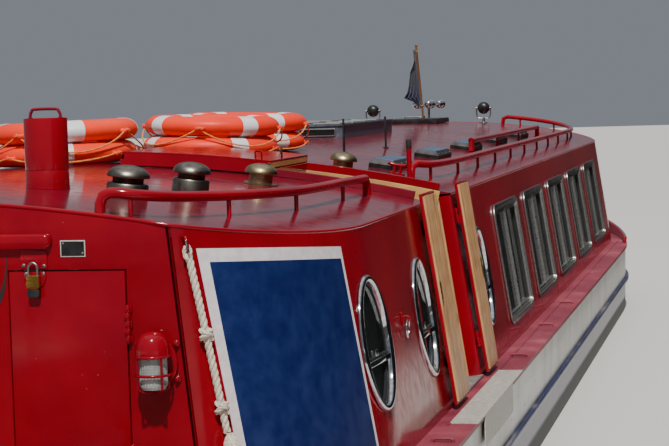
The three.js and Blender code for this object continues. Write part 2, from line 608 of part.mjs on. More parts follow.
put("side_door_aft", sideDoor(DOOR_AFT_Y, -1), RED);
put("side_door_fore", sideDoor(DOOR_FORE_Y, 1), RED);
const sideAft = sideSkin.intersect(between(0, WIDE, SIDE_AFT, DOOR_AFT_Y));
put("cabin_side_starboard_aft", sideAft.add(sideJamb(DOOR_AFT_Y, -1)), RED);
const sideFore = sideSkin.intersect(between(0, WIDE, DOOR_FORE_Y, SIDE_FORE));
put("cabin_side_starboard_fore", sideFore.add(sideJamb(DOOR_FORE_Y, 1)), RED);

// Decks: one plate over the hull, open inside the cabin
const deckPlate = stack([upperHull(DECK_UNDER, -GUNWALE_LIP), upperHull(DECK_Z - FIT, -GUNWALE_LIP)]);
const cabinFoot = cabinBlock(WALL, DECK_UNDER - 40, DECK_Z + 40);
const AFT_DECK_Y = CABIN_AFT_Y + WALL;
const FORE_DECK_Y = CABIN_FORE_Y - WALL;
// Mooring studs and low cleats are welded to the decks
const DECK_IN = DECK_Z - 10;
const STUD = { r: 32, high: 170, barR: 20, barHalf: 90, barHigh: 130 };
const AFT_STUDS = [[1080, -7420], [-1080, -7420]];
const FORE_STUDS = [[0, 7350]];
const SIDE_CLEAT = { x: 1925, half: 45, halfWide: 9, high: 16 };
const STARBOARD_CLEATS = [-5290, -2780, -1450, -250];
const PORT_CLEATS = [-5290, -2780, -250];

function stud([x, y]) {
  const { r, high, barR, barHalf, barHigh } = STUD;
  return rod([x, y, DECK_IN], [x, y, DECK_Z + high], r, 14)
    .add(rod([x - barHalf, y, DECK_Z + barHigh], [x + barHalf, y, DECK_Z + barHigh], barR, 12));
}

function sideCleat(x, y) {
  const { half, halfWide, high } = SIDE_CLEAT;
  return box(x - half, x + half, y - halfWide, y + halfWide, DECK_IN, DECK_Z + high);
}
const cleats = [
  ...STARBOARD_CLEATS.map((y) => sideCleat(SIDE_CLEAT.x, y)),
  ...PORT_CLEATS.map((y) => sideCleat(-SIDE_CLEAT.x, y)),
];
const deckPart = (y0, y1) => deckPlate.intersect(between(-WIDE, WIDE, y0, y1));
const aftDeck = deckPart(STERN_Y - 100, AFT_DECK_Y - FIT).subtract(stockHole);
put("aft_deck", aftDeck.add(together(AFT_STUDS.map(stud))), RED);
put("fore_deck", deckPart(FORE_DECK_Y + FIT, BOW_Y + 100).add(together(FORE_STUDS.map(stud))), RED);
const sideDecks = deckPart(AFT_DECK_Y, FORE_DECK_Y).subtract(cabinFoot).add(together(cleats));
put("side_deck_starboard", sideDecks.intersect(between(0, WIDE, STERN_Y, BOW_Y)), RED);
put("side_deck_port", sideDecks.intersect(between(-WIDE, 0, STERN_Y, BOW_Y)), RED);

// The bow's bulwark rises to the stem
const BULWARK = { start: 4700, rise: 290, thick: 24, low: 40 };

function bulwarkHalf(inset, above) {
  return bowHalf(DECK_Z, inset - GUNWALE_LIP + 2).map(([x, y]) => {
    const t = Math.max(0, (y - BULWARK.start) / (BOW_Y - BULWARK.start));
    return [x, y, DECK_Z + above * (BULWARK.low + BULWARK.rise * t ** 1.6) + (above > 1 ? 50 : 0)];
  });
}
const bulwarkFloor = bulwarkHalf(BULWARK.thick, 0).map(([x, y, z]) => [x, y, z - 40]);
const bulwark = stack([bulwarkHalf(0, 0), bulwarkHalf(0, 1)])
  .subtract(stack([bulwarkFloor, bulwarkHalf(BULWARK.thick, 1.5)]))
  .intersect(between(-WIDE, WIDE, BULWARK.start, BOW_Y + 100));
put("bow_bulwark", bulwark, RED);

// Inside: floor, benches along both sides, and the engine under the aft deck
const FLOOR_TOP = 152;
const floorPlate = stack([lowerHull(BOTTOM_TOP + FIT, HULL_WALL + 3), lowerHull(FLOOR_TOP, HULL_WALL + 3)])
  .intersect(between(-WIDE, WIDE, STERN_CUT, CABIN_FORE_Y - 200));
put("cabin_floor", floorPlate, DARK_WOOD);
const BENCH = { x0: 1250, x1: 1780, z: 600, back: 1120, y0: -2400, y1: 4300 };
const bench = (s) => {
  const x = (a, b) => [Math.min(s * a, s * b), Math.max(s * a, s * b)];
  const seat = x(BENCH.x0, BENCH.x1);
  const back = x(BENCH.x1 - 70, BENCH.x1);
  return box(seat[0], seat[1], BENCH.y0, BENCH.y1, FLOOR_TOP + FIT, BENCH.z)
    .add(box(back[0], back[1], BENCH.y0, BENCH.y1, BENCH.z - 1, BENCH.back));
};
put("bench_starboard", bench(1), DARK_WOOD);
put("bench_port", bench(-1), DARK_WOOD);
const ENGINE = { half: 320, y0: -6900, y1: -5900, z1: 880 };
put("engine", box(-ENGINE.half, ENGINE.half, ENGINE.y0, ENGINE.y1, BOTTOM_TOP + FIT, ENGINE.z1), IRON);

// Rudder on its stock, the swan-necked tiller, and the propeller
const RUDDER = { fore: 90, aft: 300, half: 12, z0: 62, z1: 462 };
const STOCK_TOP = 1212;
const stock = rod([0, STOCK_Y, 22], [0, STOCK_Y, STOCK_TOP], STOCK_R, 24);
const blade = box(-RUDDER.half, RUDDER.half, STOCK_Y - RUDDER.aft, STOCK_Y + RUDDER.fore,
  RUDDER.z0, RUDDER.z1);
put("rudder", stock.add(blade), BLACK);
const TILLER = { bossR: 34, bossTop: 1290, neckR: 21, barR: 24, bar: [[0, -7740, 2086], [0, -7020, 2118]] };
const NECK = [[0, -7860, 1290], [0, -7866, 1330], [0, -7960, 1560], [0, -7990, 1800], [0, -7900, 2010],
  [0, -7720, 2090]];
const boss = rod([0, STOCK_Y, STOCK_TOP + FIT], [0, STOCK_Y, TILLER.bossTop], TILLER.bossR, 16);
const neck = sweep([[0, STOCK_Y, STOCK_TOP + 4], ...smooth(NECK, 12)], TILLER.neckR, 8);
const bar = rod(TILLER.bar[0], TILLER.bar[1], TILLER.barR, 12);
put("tiller", boss.add(neck).add(bar), STEEL);

const PROP = {
  r: 185, hubR: 38, y0: -7650, y1: -7563, blades: 3, thick: 12, bladeHalf: 78, bladeLong: 84, pitch: 0.42,
};
const hub = rod([0, PROP.y0, SHAFT_Z], [0, PROP.y1, SHAFT_Z], PROP.hubR, 18);
const shaft = rod([0, PROP.y1 - 5, SHAFT_Z], [0, SWIM_END_Y - 4, SHAFT_Z], SHAFT_R, 16);
const bladePoints = ellipse(PROP.bladeHalf, PROP.bladeLong, 12).map(([u, v]) => new THREE.Vector2(u, v));
const blades = run(0, 2 * Math.PI, PROP.blades).slice(0, PROP.blades).map((turn) => {
  const depth = PROP.thick;
  const geometry = new THREE.ExtrudeGeometry(new THREE.Shape(bladePoints), { depth, bevelEnabled: false });
  geometry.translate(0, 0, -PROP.thick / 2);
  geometry.rotateX(Math.PI / 2);
  geometry.rotateZ(PROP.pitch);
  geometry.translate(0, 0, PROP.r - PROP.bladeLong);
  geometry.rotateY(turn);
  geometry.translate(0, (PROP.y0 + PROP.y1) / 2, SHAFT_Z);
  return toSolid(geometry);
});
put("propeller", hub.add(shaft).add(together(blades)), BRONZE);

// Handrails on the roof: tube, feet turned down at the ends, and stanchions
const RAIL = { r: 19, high: 75, postR: 9 };

// Rail rows: x, y along the roof; the tube follows the camber at a set height
function handrail(places, posts, side) {
  const over = ([x, y], lift = RAIL.high) => [x, y, roofZ(x) + lift];
  const foot = (p, q) => {
    const away = new THREE.Vector3(p[0] - q[0], p[1] - q[1], 0).normalize();
    const out = (d, lift) => over([p[0] + d * away.x, p[1] + d * away.y], lift);
    return [out(62, -12), out(58, RAIL.high - 42), out(44, RAIL.high - 12), out(18, RAIL.high - 1)];
  };
  const n = places.length;
  const [first, last] = [foot(places[0], places[1]), foot(places[n - 1], places[n - 2]).reverse()];
  const line = [...first, ...places.map((p) => over(p)), ...last];
  const stanchions = posts.map((p) => rod(over(p, -12), over(p), RAIL.postR, 6));
  const solid = together([sweep(line, RAIL.r, 8), ...stanchions])
    .intersect(camberBand(FIT, 400, -WIDE, WIDE, STERN_Y, BOW_Y));
  return side < 0 ? solid.mirror([1, 0, 0]) : solid;
}

const AFT_RAIL = [[1078, -6707], [1119, -6699], [1190, -6640], [1262, -6480], [1332, -6228], [1390, -5930],
  [1435, -5623], [1455, -5250], [1463, -4889], [1478, -4523]];
const AFT_POSTS = [[1119, -6699], [1332, -6228], [1435, -5623], [1463, -4889]];
const FORE_RAIL = [[1452, -2995], [1500, -2860], [1522, -2500], [1530, -2000], [1530, 4250], [1518, 4620],
  [1480, 4950], [1410, 5260], [1310, 5480], [1180, 5640], [1020, 5740], [820, 5780]];
const EDGE_POSTS = run(-2120, 4130, 8).map((y) => [1530, y]);
const FORE_POSTS = [[1500, -2860], ...EDGE_POSTS, [1490, 4890], [1270, 5535], [930, 5762]];
const INNER_RAIL = [[1285, 150], [1285, 3950]];
const INNER_POSTS = [[1285, 1400], [1285, 2700]];
put("handrail_starboard_aft", handrail(AFT_RAIL, AFT_POSTS, 1), RED);
put("handrail_starboard_fore", handrail(FORE_RAIL, FORE_POSTS, 1), RED);
put("handrail_port_aft", handrail(AFT_RAIL, AFT_POSTS, -1), RED);
put("handrail_port_fore", handrail(FORE_RAIL, FORE_POSTS, -1), RED);
put("handrail_inner", handrail(INNER_RAIL, INNER_POSTS, 1), RED);

// Chimney: a collar on the roof and the pipe with its hooped lid
const CHIMNEY = { x: 531, y: -5896, r: 82, collar: 62, high: 256, footR: 95 };
const HOOP = [[-60, -4], [-59, 18], [-44, 35], [44, 35], [59, 18], [60, -4]];
const chimneyBase = roofZ(CHIMNEY.x) + 10;
const chimneyRound = (profile) => lathe(profile, [CHIMNEY.x, CHIMNEY.y, chimneyBase], 18);

function chimney() {
  const { r, collar, high, footR } = CHIMNEY;
  const foot = chimneyRound([[0, -60], [footR, -60], [footR, 0], [r, 8], [r, collar], [0, collar]])
    .intersect(camberBand(FIT, 400, -WIDE, WIDE, STERN_Y, BOW_Y));
  const pipe = chimneyRound([[0, collar - 1], [r + 1, collar - 1], [r + 1, high], [0, high]]);
  const hoop = sweep(HOOP.map(([x, z]) => [CHIMNEY.x + x, CHIMNEY.y, chimneyBase + high + z]), 6, 6);
  return foot.add(pipe).add(hoop);
}
put("chimney", chimney(), DEEP_RED);

// Mushroom vents along the starboard rail, and their mirror on port. Columns: x, y, dome radius, height
const VENTS = [[900, -6070, 80, 122], [990, -5550, 75, 122], [1060, -4710, 72, 90], [1095, -3150, 70, 88]];

function mushroomVent(x, y, dome, high) {
  const foot = dome + 2;
  const stem = dome * 0.72;
  const eave = high - 40;
  const profile = [[0, -14], [foot, -14], [foot, 7], [stem, 10], [stem, eave], [dome, eave],
    [dome * 0.96, high - 24], [dome * 0.63, high - 8], [0, high]];
  return lathe(profile, [x, y, roofZ(x)], 12);
}
const ventPair = ([x, y, dome, high]) => [1, -1].map((side) => mushroomVent(side * x, y, dome, high));
const vents = VENTS.flatMap(ventPair);
const aboveRoof = camberBand(FIT, 600, -WIDE, WIDE, STERN_Y, BOW_Y);
const intoRoof = camberBand(-ROOF_PLATE / 2, 600, -WIDE, WIDE, STERN_Y, BOW_Y);

// Low bevelled skylights in a row inside the starboard rail, and the raised one on the centreline
const LOW_VENT = {
  x: 1180, step: -40, wide: 115, long: 510, high: 58, bevel: 40, first: -2350, pitch: 1560, count: 5,
};
function lowVent(place) {
  const { wide, long, high, bevel } = LOW_VENT;
  const x = LOW_VENT.x + LOW_VENT.step * place;
  const y = LOW_VENT.first + LOW_VENT.pitch * place;
  const z = roofZ(x);
  const level = (w, l, h) => [[w, y - l, h], [w, y + l, h]];
  const top = level(wide - bevel, long - bevel, z + high);
  return stack([level(wide, long, z - 60), level(wide, long, z + 26), top]).translate([x, 0, 0]);
}
const lowVents = run(0, LOW_VENT.count - 1, LOW_VENT.count - 1).map(lowVent);
const SKYLIGHT = { half: 350, y0: 400, y1: 2250, high: 92 };
const skylight = box(-SKYLIGHT.half, SKYLIGHT.half, SKYLIGHT.y0, SKYLIGHT.y1,
  roofZ(SKYLIGHT.half) - 20, ROOF_CROWN_Z + SKYLIGHT.high);
put("skylight", skylight.intersect(aboveRoof), ALUMINIUM);

// Life rings in three stacks of two
const RING = { centre: 285, tubeX: 75, tubeZ: 54 };

function lifeRing(lift) {
  const onTube = (t) => [RING.centre + RING.tubeX * Math.cos(t), RING.tubeZ * Math.sin(t)];
  const profile = run(0, 2 * Math.PI, 8).map(onTube);
  profile[profile.length - 1] = profile[0];
  return lathe(profile, [0, 0, lift], 16);
}

function ringStack(x, y) {
  const low = RING.tubeZ + FIT;
  const pair = lifeRing(low).add(lifeRing(low + 2 * RING.tubeZ - 2).translate([6, 12, 0]));
  return pair.rotate([0, (Math.asin(x / CAMBER_R) * 180) / Math.PI, 0]).translate([x, y, roofZ(x)]);
}
put("life_rings_port", ringStack(-175, -3750), ORANGE);
put("life_rings_middle", ringStack(290, -2750), ORANGE);
put("life_rings_fore", ringStack(243, -1900), ORANGE);

// Roof fittings: a post with a black tip and a cleat by the rail, and slim rods
const post = (x, y, high, r) => rod([x, y, roofZ(x) - 15], [x, y, roofZ(x) + high], r, 10);
const POSTS = [[1405, -3082, 200, 13], [800, -1700, 200, 7], [855, -683, 200, 7]];
const CLEAT = {
  x: 1348, y: -3010, half: 38, deep: 25, low: 6, base: 22, bar: 52, high: 60, postR: 14, barR: 11,
};

function roofCleat() {
  const { x, y, half, deep } = CLEAT;
  const z = roofZ(x);
  const base = box(x - half, x + half, y - deep, y + deep, z + CLEAT.low, z + CLEAT.base);
  const middle = rod([x, y, z - 20], [x, y, z + CLEAT.high], CLEAT.postR, 10);
  const bar = rod([x - half, y, z + CLEAT.bar], [x + half, y, z + CLEAT.bar], CLEAT.barR, 10);
  return base.add(middle).add(bar);
}
const roofPosts = [...POSTS.map((place) => post(...place)), roofCleat()];

// At the fore end of the roof: two lamps on brackets, horns and the flag staff
const LAMP = {
  half: 535, shift: 45, y: 5790, z: 2365, r: 57, deep: 70, arm: 66, foot: 95, strap: 14, thick: 4,
  pivotR: 7, stemR: 13,
};

function foreLamp(side) {
  const { y, z, r, arm, strap, thick } = LAMP;
  const x = LAMP.shift + side * LAMP.half;
  const low = z - LAMP.foot;
  const bracket = (x0, x1, z0, z1) => box(x0 - thick, x1 + thick, y - strap, y + strap, z0, z1);
  return rod([x, y - LAMP.deep / 2, z], [x, y + LAMP.deep / 2, z], r, 14)
    .add(bracket(x + arm, x + arm, low, z + 6))
    .add(bracket(x - arm, x - arm, low, z + 6))
    .add(bracket(x - arm, x + arm, low - thick, low + thick))
    .add(rod([x - arm, y, z], [x + arm, y, z], LAMP.pivotR, 8))
    .add(rod([x, y, roofZ(x) - 20], [x, y, low], LAMP.stemR, 10));
}
const lamps = [1, -1].map(foreLamp);
const fittings = together([...vents, ...lowVents, ...roofPosts, ...lamps]).intersect(intoRoof);
const roofWhole = roofPlate.add(fittings);
const ROOF_JOINT_Y = -3300;
put("roof_aft", roofWhole.intersect(between(-WIDE, WIDE, STERN_Y, ROOF_JOINT_Y - FIT / 2)), DEEP_RED);
put("roof_fore", roofWhole.intersect(between(-WIDE, WIDE, ROOF_JOINT_Y + FIT / 2, BOW_Y)), DEEP_RED);
const STAFF = { y: 5800, foot: 2244, top: 2990, lean: -55 };
const staffX = (z) => (STAFF.lean * (z - STAFF.foot)) / (STAFF.top - STAFF.foot);
put("flag_staff", rod([0, STAFF.y, roofZ(0) + SEAT], [STAFF.lean, STAFF.y, STAFF.top], 11, 10), DARK_WOOD);
const HORN = { z: 2412, y: 5826, bar: 5900, barX: [-90, 160], footX: 35 };
const HORN_PLACES = [[-75, 140], [40, 190], [145, 160]];

// A round diaphragm housing behind a throat that flares to the mouth
function horn([x, long]) {
  const housing = [[0, 0], [22, 4], [38, 24], [38, 40], [14, 52]];
  const flare = [[16, long - 50], [40, long], [0, long]];
  return lathe([...housing, ...flare], [0, 0, 0], 12).rotate([-90, 0, 0]).translate([x, HORN.y, HORN.z]);
}
const hornBar = box(HORN.barX[0], HORN.barX[1], HORN.bar - 12, HORN.bar + 12, HORN.z - 24, HORN.z - 6);
const hornFootZ = roofZ(HORN.footX) - 20;
const hornFoot = rod([HORN.footX, HORN.bar, hornFootZ], [HORN.footX, HORN.bar, HORN.z - 12], 12, 10);
put("horns", together([...HORN_PLACES.map(horn), hornBar, hornFoot]).intersect(aboveRoof), STEEL);
// The flag hangs limp from the staff. Rows: height, width to port of the staff
const FLAG_OFF = 11.6;
const FLAG_THICK = 16;
const FLAG_ROWS = [[2940, 4], [2839, 16], [2782, 38], [2725, 70], [2602, 96], [2526, 120], [2478, 158],
  [2440, 60], [2385, 14], [2385, 0], [2940, 0]];
const flagPoint = ([z, wide]) => new THREE.Vector2(staffX(z) - FLAG_OFF - wide, z);
const flagShape = new THREE.Shape(FLAG_ROWS.map(flagPoint));
const flagSolid = new THREE.ExtrudeGeometry(flagShape, { depth: FLAG_THICK, bevelEnabled: false });
flagSolid.rotateX(Math.PI / 2);
flagSolid.translate(0, STAFF.y + FLAG_THICK / 2, 0);
put("flag", toSolid(flagSolid), NAVY);

// On the aft bulkhead: the caged lamp
const BULK_LAMP = { x: 1226, z: 1672 };
const faceY = CABIN_AFT_Y - FIT;
const LAMP_PROFILE = [[0, -84], [44, -84], [50, -60], [50, 30], [64, 36], [60, 66], [40, 92], [0, 104]];
const lampBase = rod([BULK_LAMP.x, faceY, BULK_LAMP.z], [BULK_LAMP.x, faceY - 26, BULK_LAMP.z], 74, 16);
const lampBody = lathe(LAMP_PROFILE, [BULK_LAMP.x, faceY - 62, BULK_LAMP.z], 12);
put("bulkhead_lamp", lampBase.add(lampBody.intersect(between(0, WIDE, faceY - 200, faceY))), RED);

// The blank sign that follows the rounded quarter. Its corners: y, z
const SIGN = {
  footAft: [-6656, 1212], topAft: [-6704, 2050], footFore: [-5933, 1200], topFore: [-5982, 1993],
};
const SIGN_SKIN = { off: 1.9, thick: 4, steps: 10, levels: 3, crowd: 1.6 };

// A shell of two layers over the side; the steps crowd where the quarter bends most
function signShell() {
  const { off, thick, steps, levels, crowd } = SIGN_SKIN;
  const points = [];
  const mix = (a, b, t) => a + (b - a) * t;
  const foot = (t, k) => mix(SIGN.footAft[k], SIGN.footFore[k], t);
  const top = (t, k) => mix(SIGN.topAft[k], SIGN.topFore[k], t);
  const place = (t, s, k) => mix(foot(t, k), top(t, k), s);
  for (const out of [off, off + thick]) {
    for (const step of run(0, 1, steps)) {
      for (const s of run(0, 1, levels)) {
        const t = step ** crowd;
        const { matrix } = sideFrame(place(t, s, 0), place(t, s, 1));
        const p = new THREE.Vector3(0, 0, out).applyMatrix4(matrix);
        points.push(p.x, p.y, p.z);
      }
    }
  }
  const at = (layer, i, k) => (layer * (steps + 1) + i) * (levels + 1) + k;
  const faces = [];
  const quad = (a, b, c, d) => faces.push(a, b, c, a, c, d);
  for (let i = 0; i < steps; i += 1) {
    for (let k = 0; k < levels; k += 1) {
      quad(at(1, i, k), at(1, i + 1, k), at(1, i + 1, k + 1), at(1, i, k + 1));
      quad(at(0, i, k), at(0, i, k + 1), at(0, i + 1, k + 1), at(0, i + 1, k));
    }
    quad(at(0, i, 0), at(0, i + 1, 0), at(1, i + 1, 0), at(1, i, 0));
    quad(at(1, i, levels), at(1, i + 1, levels), at(0, i + 1, levels), at(0, i, levels));
  }
  for (let k = 0; k < levels; k += 1) {
    quad(at(0, 0, k), at(1, 0, k), at(1, 0, k + 1), at(0, 0, k + 1));
    quad(at(0, steps, k + 1), at(1, steps, k + 1), at(1, steps, k), at(0, steps, k));
  }
  const geometry = new THREE.BufferGeometry();
  geometry.setAttribute("position", new THREE.BufferAttribute(new Float32Array(points), 3));
  geometry.setIndex(faces);
  return toSolid(geometry);
}
put("side_sign", signShell(), WHITE);

const ROPE_HEIGHTS = [FENDER.eyeZ - 9.6, 1880, 1760, 1640, 1540, FENDER.high + 1];

function ropeTube(places, radius, sides) {
  const path = new THREE.CatmullRomCurve3(places.map((p) => new THREE.Vector3(...p)));
  const section = new THREE.Shape(ellipse(radius, radius, sides).map(([x, y]) => new THREE.Vector2(x, y)));
  const steps = Math.round(path.getLength() / (5 * radius));
  return toSolid(new THREE.ExtrudeGeometry(section, { steps, extrudePath: path }));
}
put("fender_rope", ropeTube(ROPE_HEIGHTS.map((z) => hang(z, 22)), FENDER.ropeR, 10), ROPE);
const fenderFoot = hang(FENDER.low + 30, 52);
const woven = rod([fenderFoot[0], fenderFoot[1], FENDER.low], hang(FENDER.high, 46), FENDER.r, 14);
put("rope_fender", woven, ROPE);

// Ribbed treads: one on the deck by the doors, one turned down on the hull side
const treadTop = box(1882, 2007, -4850, -3290, DECK_Z, DECK_Z + 6);
const treadSide = box(2000.5, 2007, -4630, -3680, DECK_Z - 140, DECK_Z + 3);
put("tread_plate", treadTop.add(treadSide), ALUMINIUM);

export default group;
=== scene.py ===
# %% [markdown]
# # A wide-beam canal trip boat in narrowboat style
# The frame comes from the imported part. Every fine piece below is made in metres in that same frame,
# so it goes straight to its place: +X to starboard, +Y to the bow, +Z up from the flat bottom.

# %% Frame
import json
import math
from math import cos, pi, radians, sin, sqrt

import bmesh
import bpy
from mathutils import Matrix, Vector

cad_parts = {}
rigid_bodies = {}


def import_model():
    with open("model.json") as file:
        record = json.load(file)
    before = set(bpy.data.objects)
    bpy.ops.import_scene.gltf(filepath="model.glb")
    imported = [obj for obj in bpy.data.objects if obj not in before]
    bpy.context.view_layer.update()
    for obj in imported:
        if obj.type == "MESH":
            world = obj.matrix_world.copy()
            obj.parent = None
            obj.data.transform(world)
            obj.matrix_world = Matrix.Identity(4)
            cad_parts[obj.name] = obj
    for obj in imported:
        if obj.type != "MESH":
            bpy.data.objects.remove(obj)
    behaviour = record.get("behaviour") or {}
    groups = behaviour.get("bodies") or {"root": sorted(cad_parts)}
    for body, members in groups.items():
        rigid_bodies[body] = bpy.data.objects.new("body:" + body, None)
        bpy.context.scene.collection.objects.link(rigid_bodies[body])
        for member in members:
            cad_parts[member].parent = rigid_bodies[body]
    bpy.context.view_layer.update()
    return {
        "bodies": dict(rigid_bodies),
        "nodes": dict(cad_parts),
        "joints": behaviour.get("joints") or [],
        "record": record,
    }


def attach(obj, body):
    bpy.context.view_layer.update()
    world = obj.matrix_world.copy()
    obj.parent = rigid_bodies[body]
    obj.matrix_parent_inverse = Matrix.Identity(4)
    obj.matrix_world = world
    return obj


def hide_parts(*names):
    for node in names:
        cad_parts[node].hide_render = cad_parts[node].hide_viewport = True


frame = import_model()
nodes = frame["nodes"]

# %% [markdown]
# ## The camera
# The view is low over the stern quarter through a long lens, with the boat running away to the bow.
# Its place was solved from the straight lines of the deck, the roof and the window row.

# %% Camera
CAMERA_AT = Vector((3.2095, -13.1, 2.555))
YAW, PITCH, ROLL = 0.2142121, 0.0651761, -0.0302444
FOCAL_PIXELS, PHOTO_WIDE = 2000, 669
ahead = Vector((-sin(YAW) * cos(PITCH), cos(YAW) * cos(PITCH), -sin(PITCH)))
level = Vector((cos(YAW), sin(YAW), 0))
above = level.cross(ahead)
right = cos(ROLL) * level + sin(ROLL) * above
upward = -sin(ROLL) * level + cos(ROLL) * above
camera = bpy.data.objects.new("camera", bpy.data.cameras.new("camera"))
camera.data.sensor_width = 36
camera.data.lens = camera.data.sensor_width * FOCAL_PIXELS / PHOTO_WIDE
camera.data.clip_end = 200
camera.matrix_world = Matrix.Translation(CAMERA_AT) @ Matrix((right, upward, -ahead)).transposed().to_4x4()
bpy.context.scene.collection.objects.link(camera)
bpy.context.scene.camera = camera
print("camera lens", round(camera.data.lens, 1), "mm")

# %% [markdown]
# ## The shape of the cabin and the hull
# The cabin sides lean in and turn round two elliptical corners. The roof is an arc across the boat.
# A few short formulas give every point of them, so the trim follows the same surface as the plating.

# %% Shape rules
CAMBER_Z, CAMBER_R = -5.31948, 7.563
CABIN_AFT, CABIN_FORE = -6.750, 5.950
DECK_Z, EDGE_Z, ROOF_HALF = 1.150, 2.050, 1.700
WALL, ROOF_PLATE, ROOF_INSET = 0.060, 0.045, 0.004
LEAN = 131 / 900
# Corners at the roof and at the deck: where the bend starts, its reach along and its reach across
CORNER_TOP = (1.150, 1.180, 0.553)
CORNER_FOOT = (1.150, 1.212, 0.690)
STERN, BOW = -8.200, 8.200
HULL_AFT, HULL_FORE = -5.600, 4.200
HALF_BEAM, FLARE = 1.988, 0.025
WATERLINE = 0.600


def roof_z(x):
    return CAMBER_Z + sqrt(CAMBER_R ** 2 - x * x)


def side_x(y, z):
    t = (EDGE_Z - z) / (EDGE_Z - DECK_Z)
    start, along, across = (a + (b - a) * t for a, b in zip(CORNER_TOP, CORNER_FOOT))
    past = max(0.0, CABIN_AFT + start - y, y - (CABIN_FORE - start))
    return ROOF_HALF + LEAN * (EDGE_Z - z) - across * (1 - sqrt(max(0.0, 1 - (past / along) ** 2)))


def side_axes(y, z, hand=1):
    """The cabin side's surface at y, z: its point, and the ways along it, up it and out of it."""
    d = 0.004
    point = Vector((side_x(y, z), y, z))
    along = Vector((side_x(y + d, z) - side_x(y - d, z), 2 * d, 0)).normalized()
    up = Vector((side_x(y, z + d) - side_x(y, z - d), 0, 2 * d)).normalized()
    out = along.cross(up).normalized()
    up = out.cross(along)
    if hand < 0:
        flip = Vector((-1, 1, 1))
        point, along, up, out = point * flip, along * flip, up * flip, out * flip
    return point, along, up, out


def on_side(y, z, out=0.0, hand=1):
    point, _, _, away = side_axes(y, z, hand)
    return point + away * out


def roof_edge(y):
    x = 1.5
    for _ in range(30):
        x = side_x(y, roof_z(x))
    return x


print("cabin half-width at deck and roof:", round(side_x(0, DECK_Z), 3), round(side_x(0, EDGE_Z), 3))

# %% [markdown]
# ## A small kit for making meshes
# Most pieces of a boat are plates, rods and turned parts. These helpers make each one as a closed
# mesh already in its place, with a rounded edge where a real edge is rounded.

# %% Mesh kit
scene_objects = bpy.context.scene.collection.objects
BOAT = "boat"
SIDES = ((1, "starboard"), (-1, "port"))


def mesh_piece(name, points, faces, finish, sharp=35, slots=None):
    mesh = bpy.data.meshes.new(name)
    mesh.from_pydata([tuple(p) for p in points], [], faces)
    finishes = finish if isinstance(finish, (list, tuple)) else [finish]
    for one in finishes:
        mesh.materials.append(one)
    if slots:
        mesh.polygons.foreach_set("material_index", slots)
    shape = bmesh.new()
    shape.from_mesh(mesh)
    bmesh.ops.recalc_face_normals(shape, faces=shape.faces)
    for face in shape.faces:
        face.smooth = True
    for edge in shape.edges:
        edge.smooth = len(edge.link_faces) == 2 and edge.calc_face_angle(0) < radians(sharp)
    shape.to_mesh(mesh)
    shape.free()
    piece = bpy.data.objects.new(name, mesh)
    scene_objects.link(piece)
    return piece


class Parts:
    """Gathers closed shapes, each with its own finish, into one mesh."""

    def __init__(self):
        self.points, self.faces, self.slots, self.finishes = [], [], [], []

    def add(self, points, faces, finish):
        if finish not in self.finishes:
            self.finishes.append(finish)
        base = len(self.points)
        self.points += [Vector(p) for p in points]
        self.faces += [tuple(base + i for i in face) for face in faces]
        self.slots += [self.finishes.index(finish)] * len(faces)
        return self

    def plate(self, finish, *shape):
        return self.add(*plate_shape(*shape), finish)

    def turned(self, finish, *shape):
        return self.add(*turned_shape(*shape), finish)

    def tube(self, finish, *shape, **more):
        return self.add(*tube_shape(*shape, **more), finish)

    def box(self, finish, *shape):
        return self.add(*box_shape(*shape), finish)

    def piece(self, name, body=BOAT, slot=None, sharp=35, replaces=(), bevel=0.0):
        made = mesh_piece(name, self.points, self.faces, self.finishes, sharp, self.slots)
        if bevel:
            rounding = made.modifiers.new("edges", "BEVEL")
            rounding.width, rounding.segments, rounding.limit_method = bevel, 2, "ANGLE"
            rounding.angle_limit = radians(40)
            rounding.use_clamp_overlap = True
            rounding.harden_normals = True
        return settle(made, body, replaces)


def settle(piece, body=BOAT, replaces=()):
    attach(piece, body)
    if replaces:
        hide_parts(*replaces)
    return piece


def box_shape(lo, hi, at=Matrix()):
    points = [at @ Vector((x, y, z)) for z in (lo[2], hi[2]) for y in (lo[1], hi[1])
              for x in (lo[0], hi[0])]
    return points, [(0, 2, 3, 1), (4, 5, 7, 6), (0, 1, 5, 4), (2, 6, 7, 3), (0, 4, 6, 2), (1, 3, 7, 5)]


def turns(count):
    """The angles of places spaced evenly round a circle."""
    return [2 * pi * k / count for k in range(count)]


def placed(at, turn, axis="X"):
    """A place turned about one of its axes."""
    return Matrix.Translation(at) @ Matrix.Rotation(turn, 4, axis)


def grid_shape(rows, closed_across=False, closed_along=False):
    """Faces over rows of points, all of one length. The rows are joined into one skin."""
    width, total = len(rows[0]), len(rows[0]) * len(rows)
    faces = []
    for i in range(len(rows) if closed_along else len(rows) - 1):
        for k in range(width if closed_across else width - 1):
            a, b = i * width + k, i * width + (k + 1) % width
            faces.append((a, b, (b + width) % total, (a + width) % total))
    return [p for row in rows for p in row], faces


def capped(rows, flip=True):
    """A skin over rings of points, closed at both ends. flip turns the first cap's order round."""
    points, faces = grid_shape(rows, True)
    wide, last = len(rows[0]), len(rows[0]) * (len(rows) - 1)
    first = tuple(reversed(range(wide))) if flip else tuple(range(wide))
    return points, faces + [first, tuple(range(last, last + wide))]


def turned_shape(profile, at=Matrix(), sides=32):
    """A turned part: (radius, height) pairs from its foot to its top, closed at both ends."""
    return capped([[at @ Vector((radius * cos(a), radius * sin(a), height)) for a in turns(sides)]
                   for radius, height in profile])


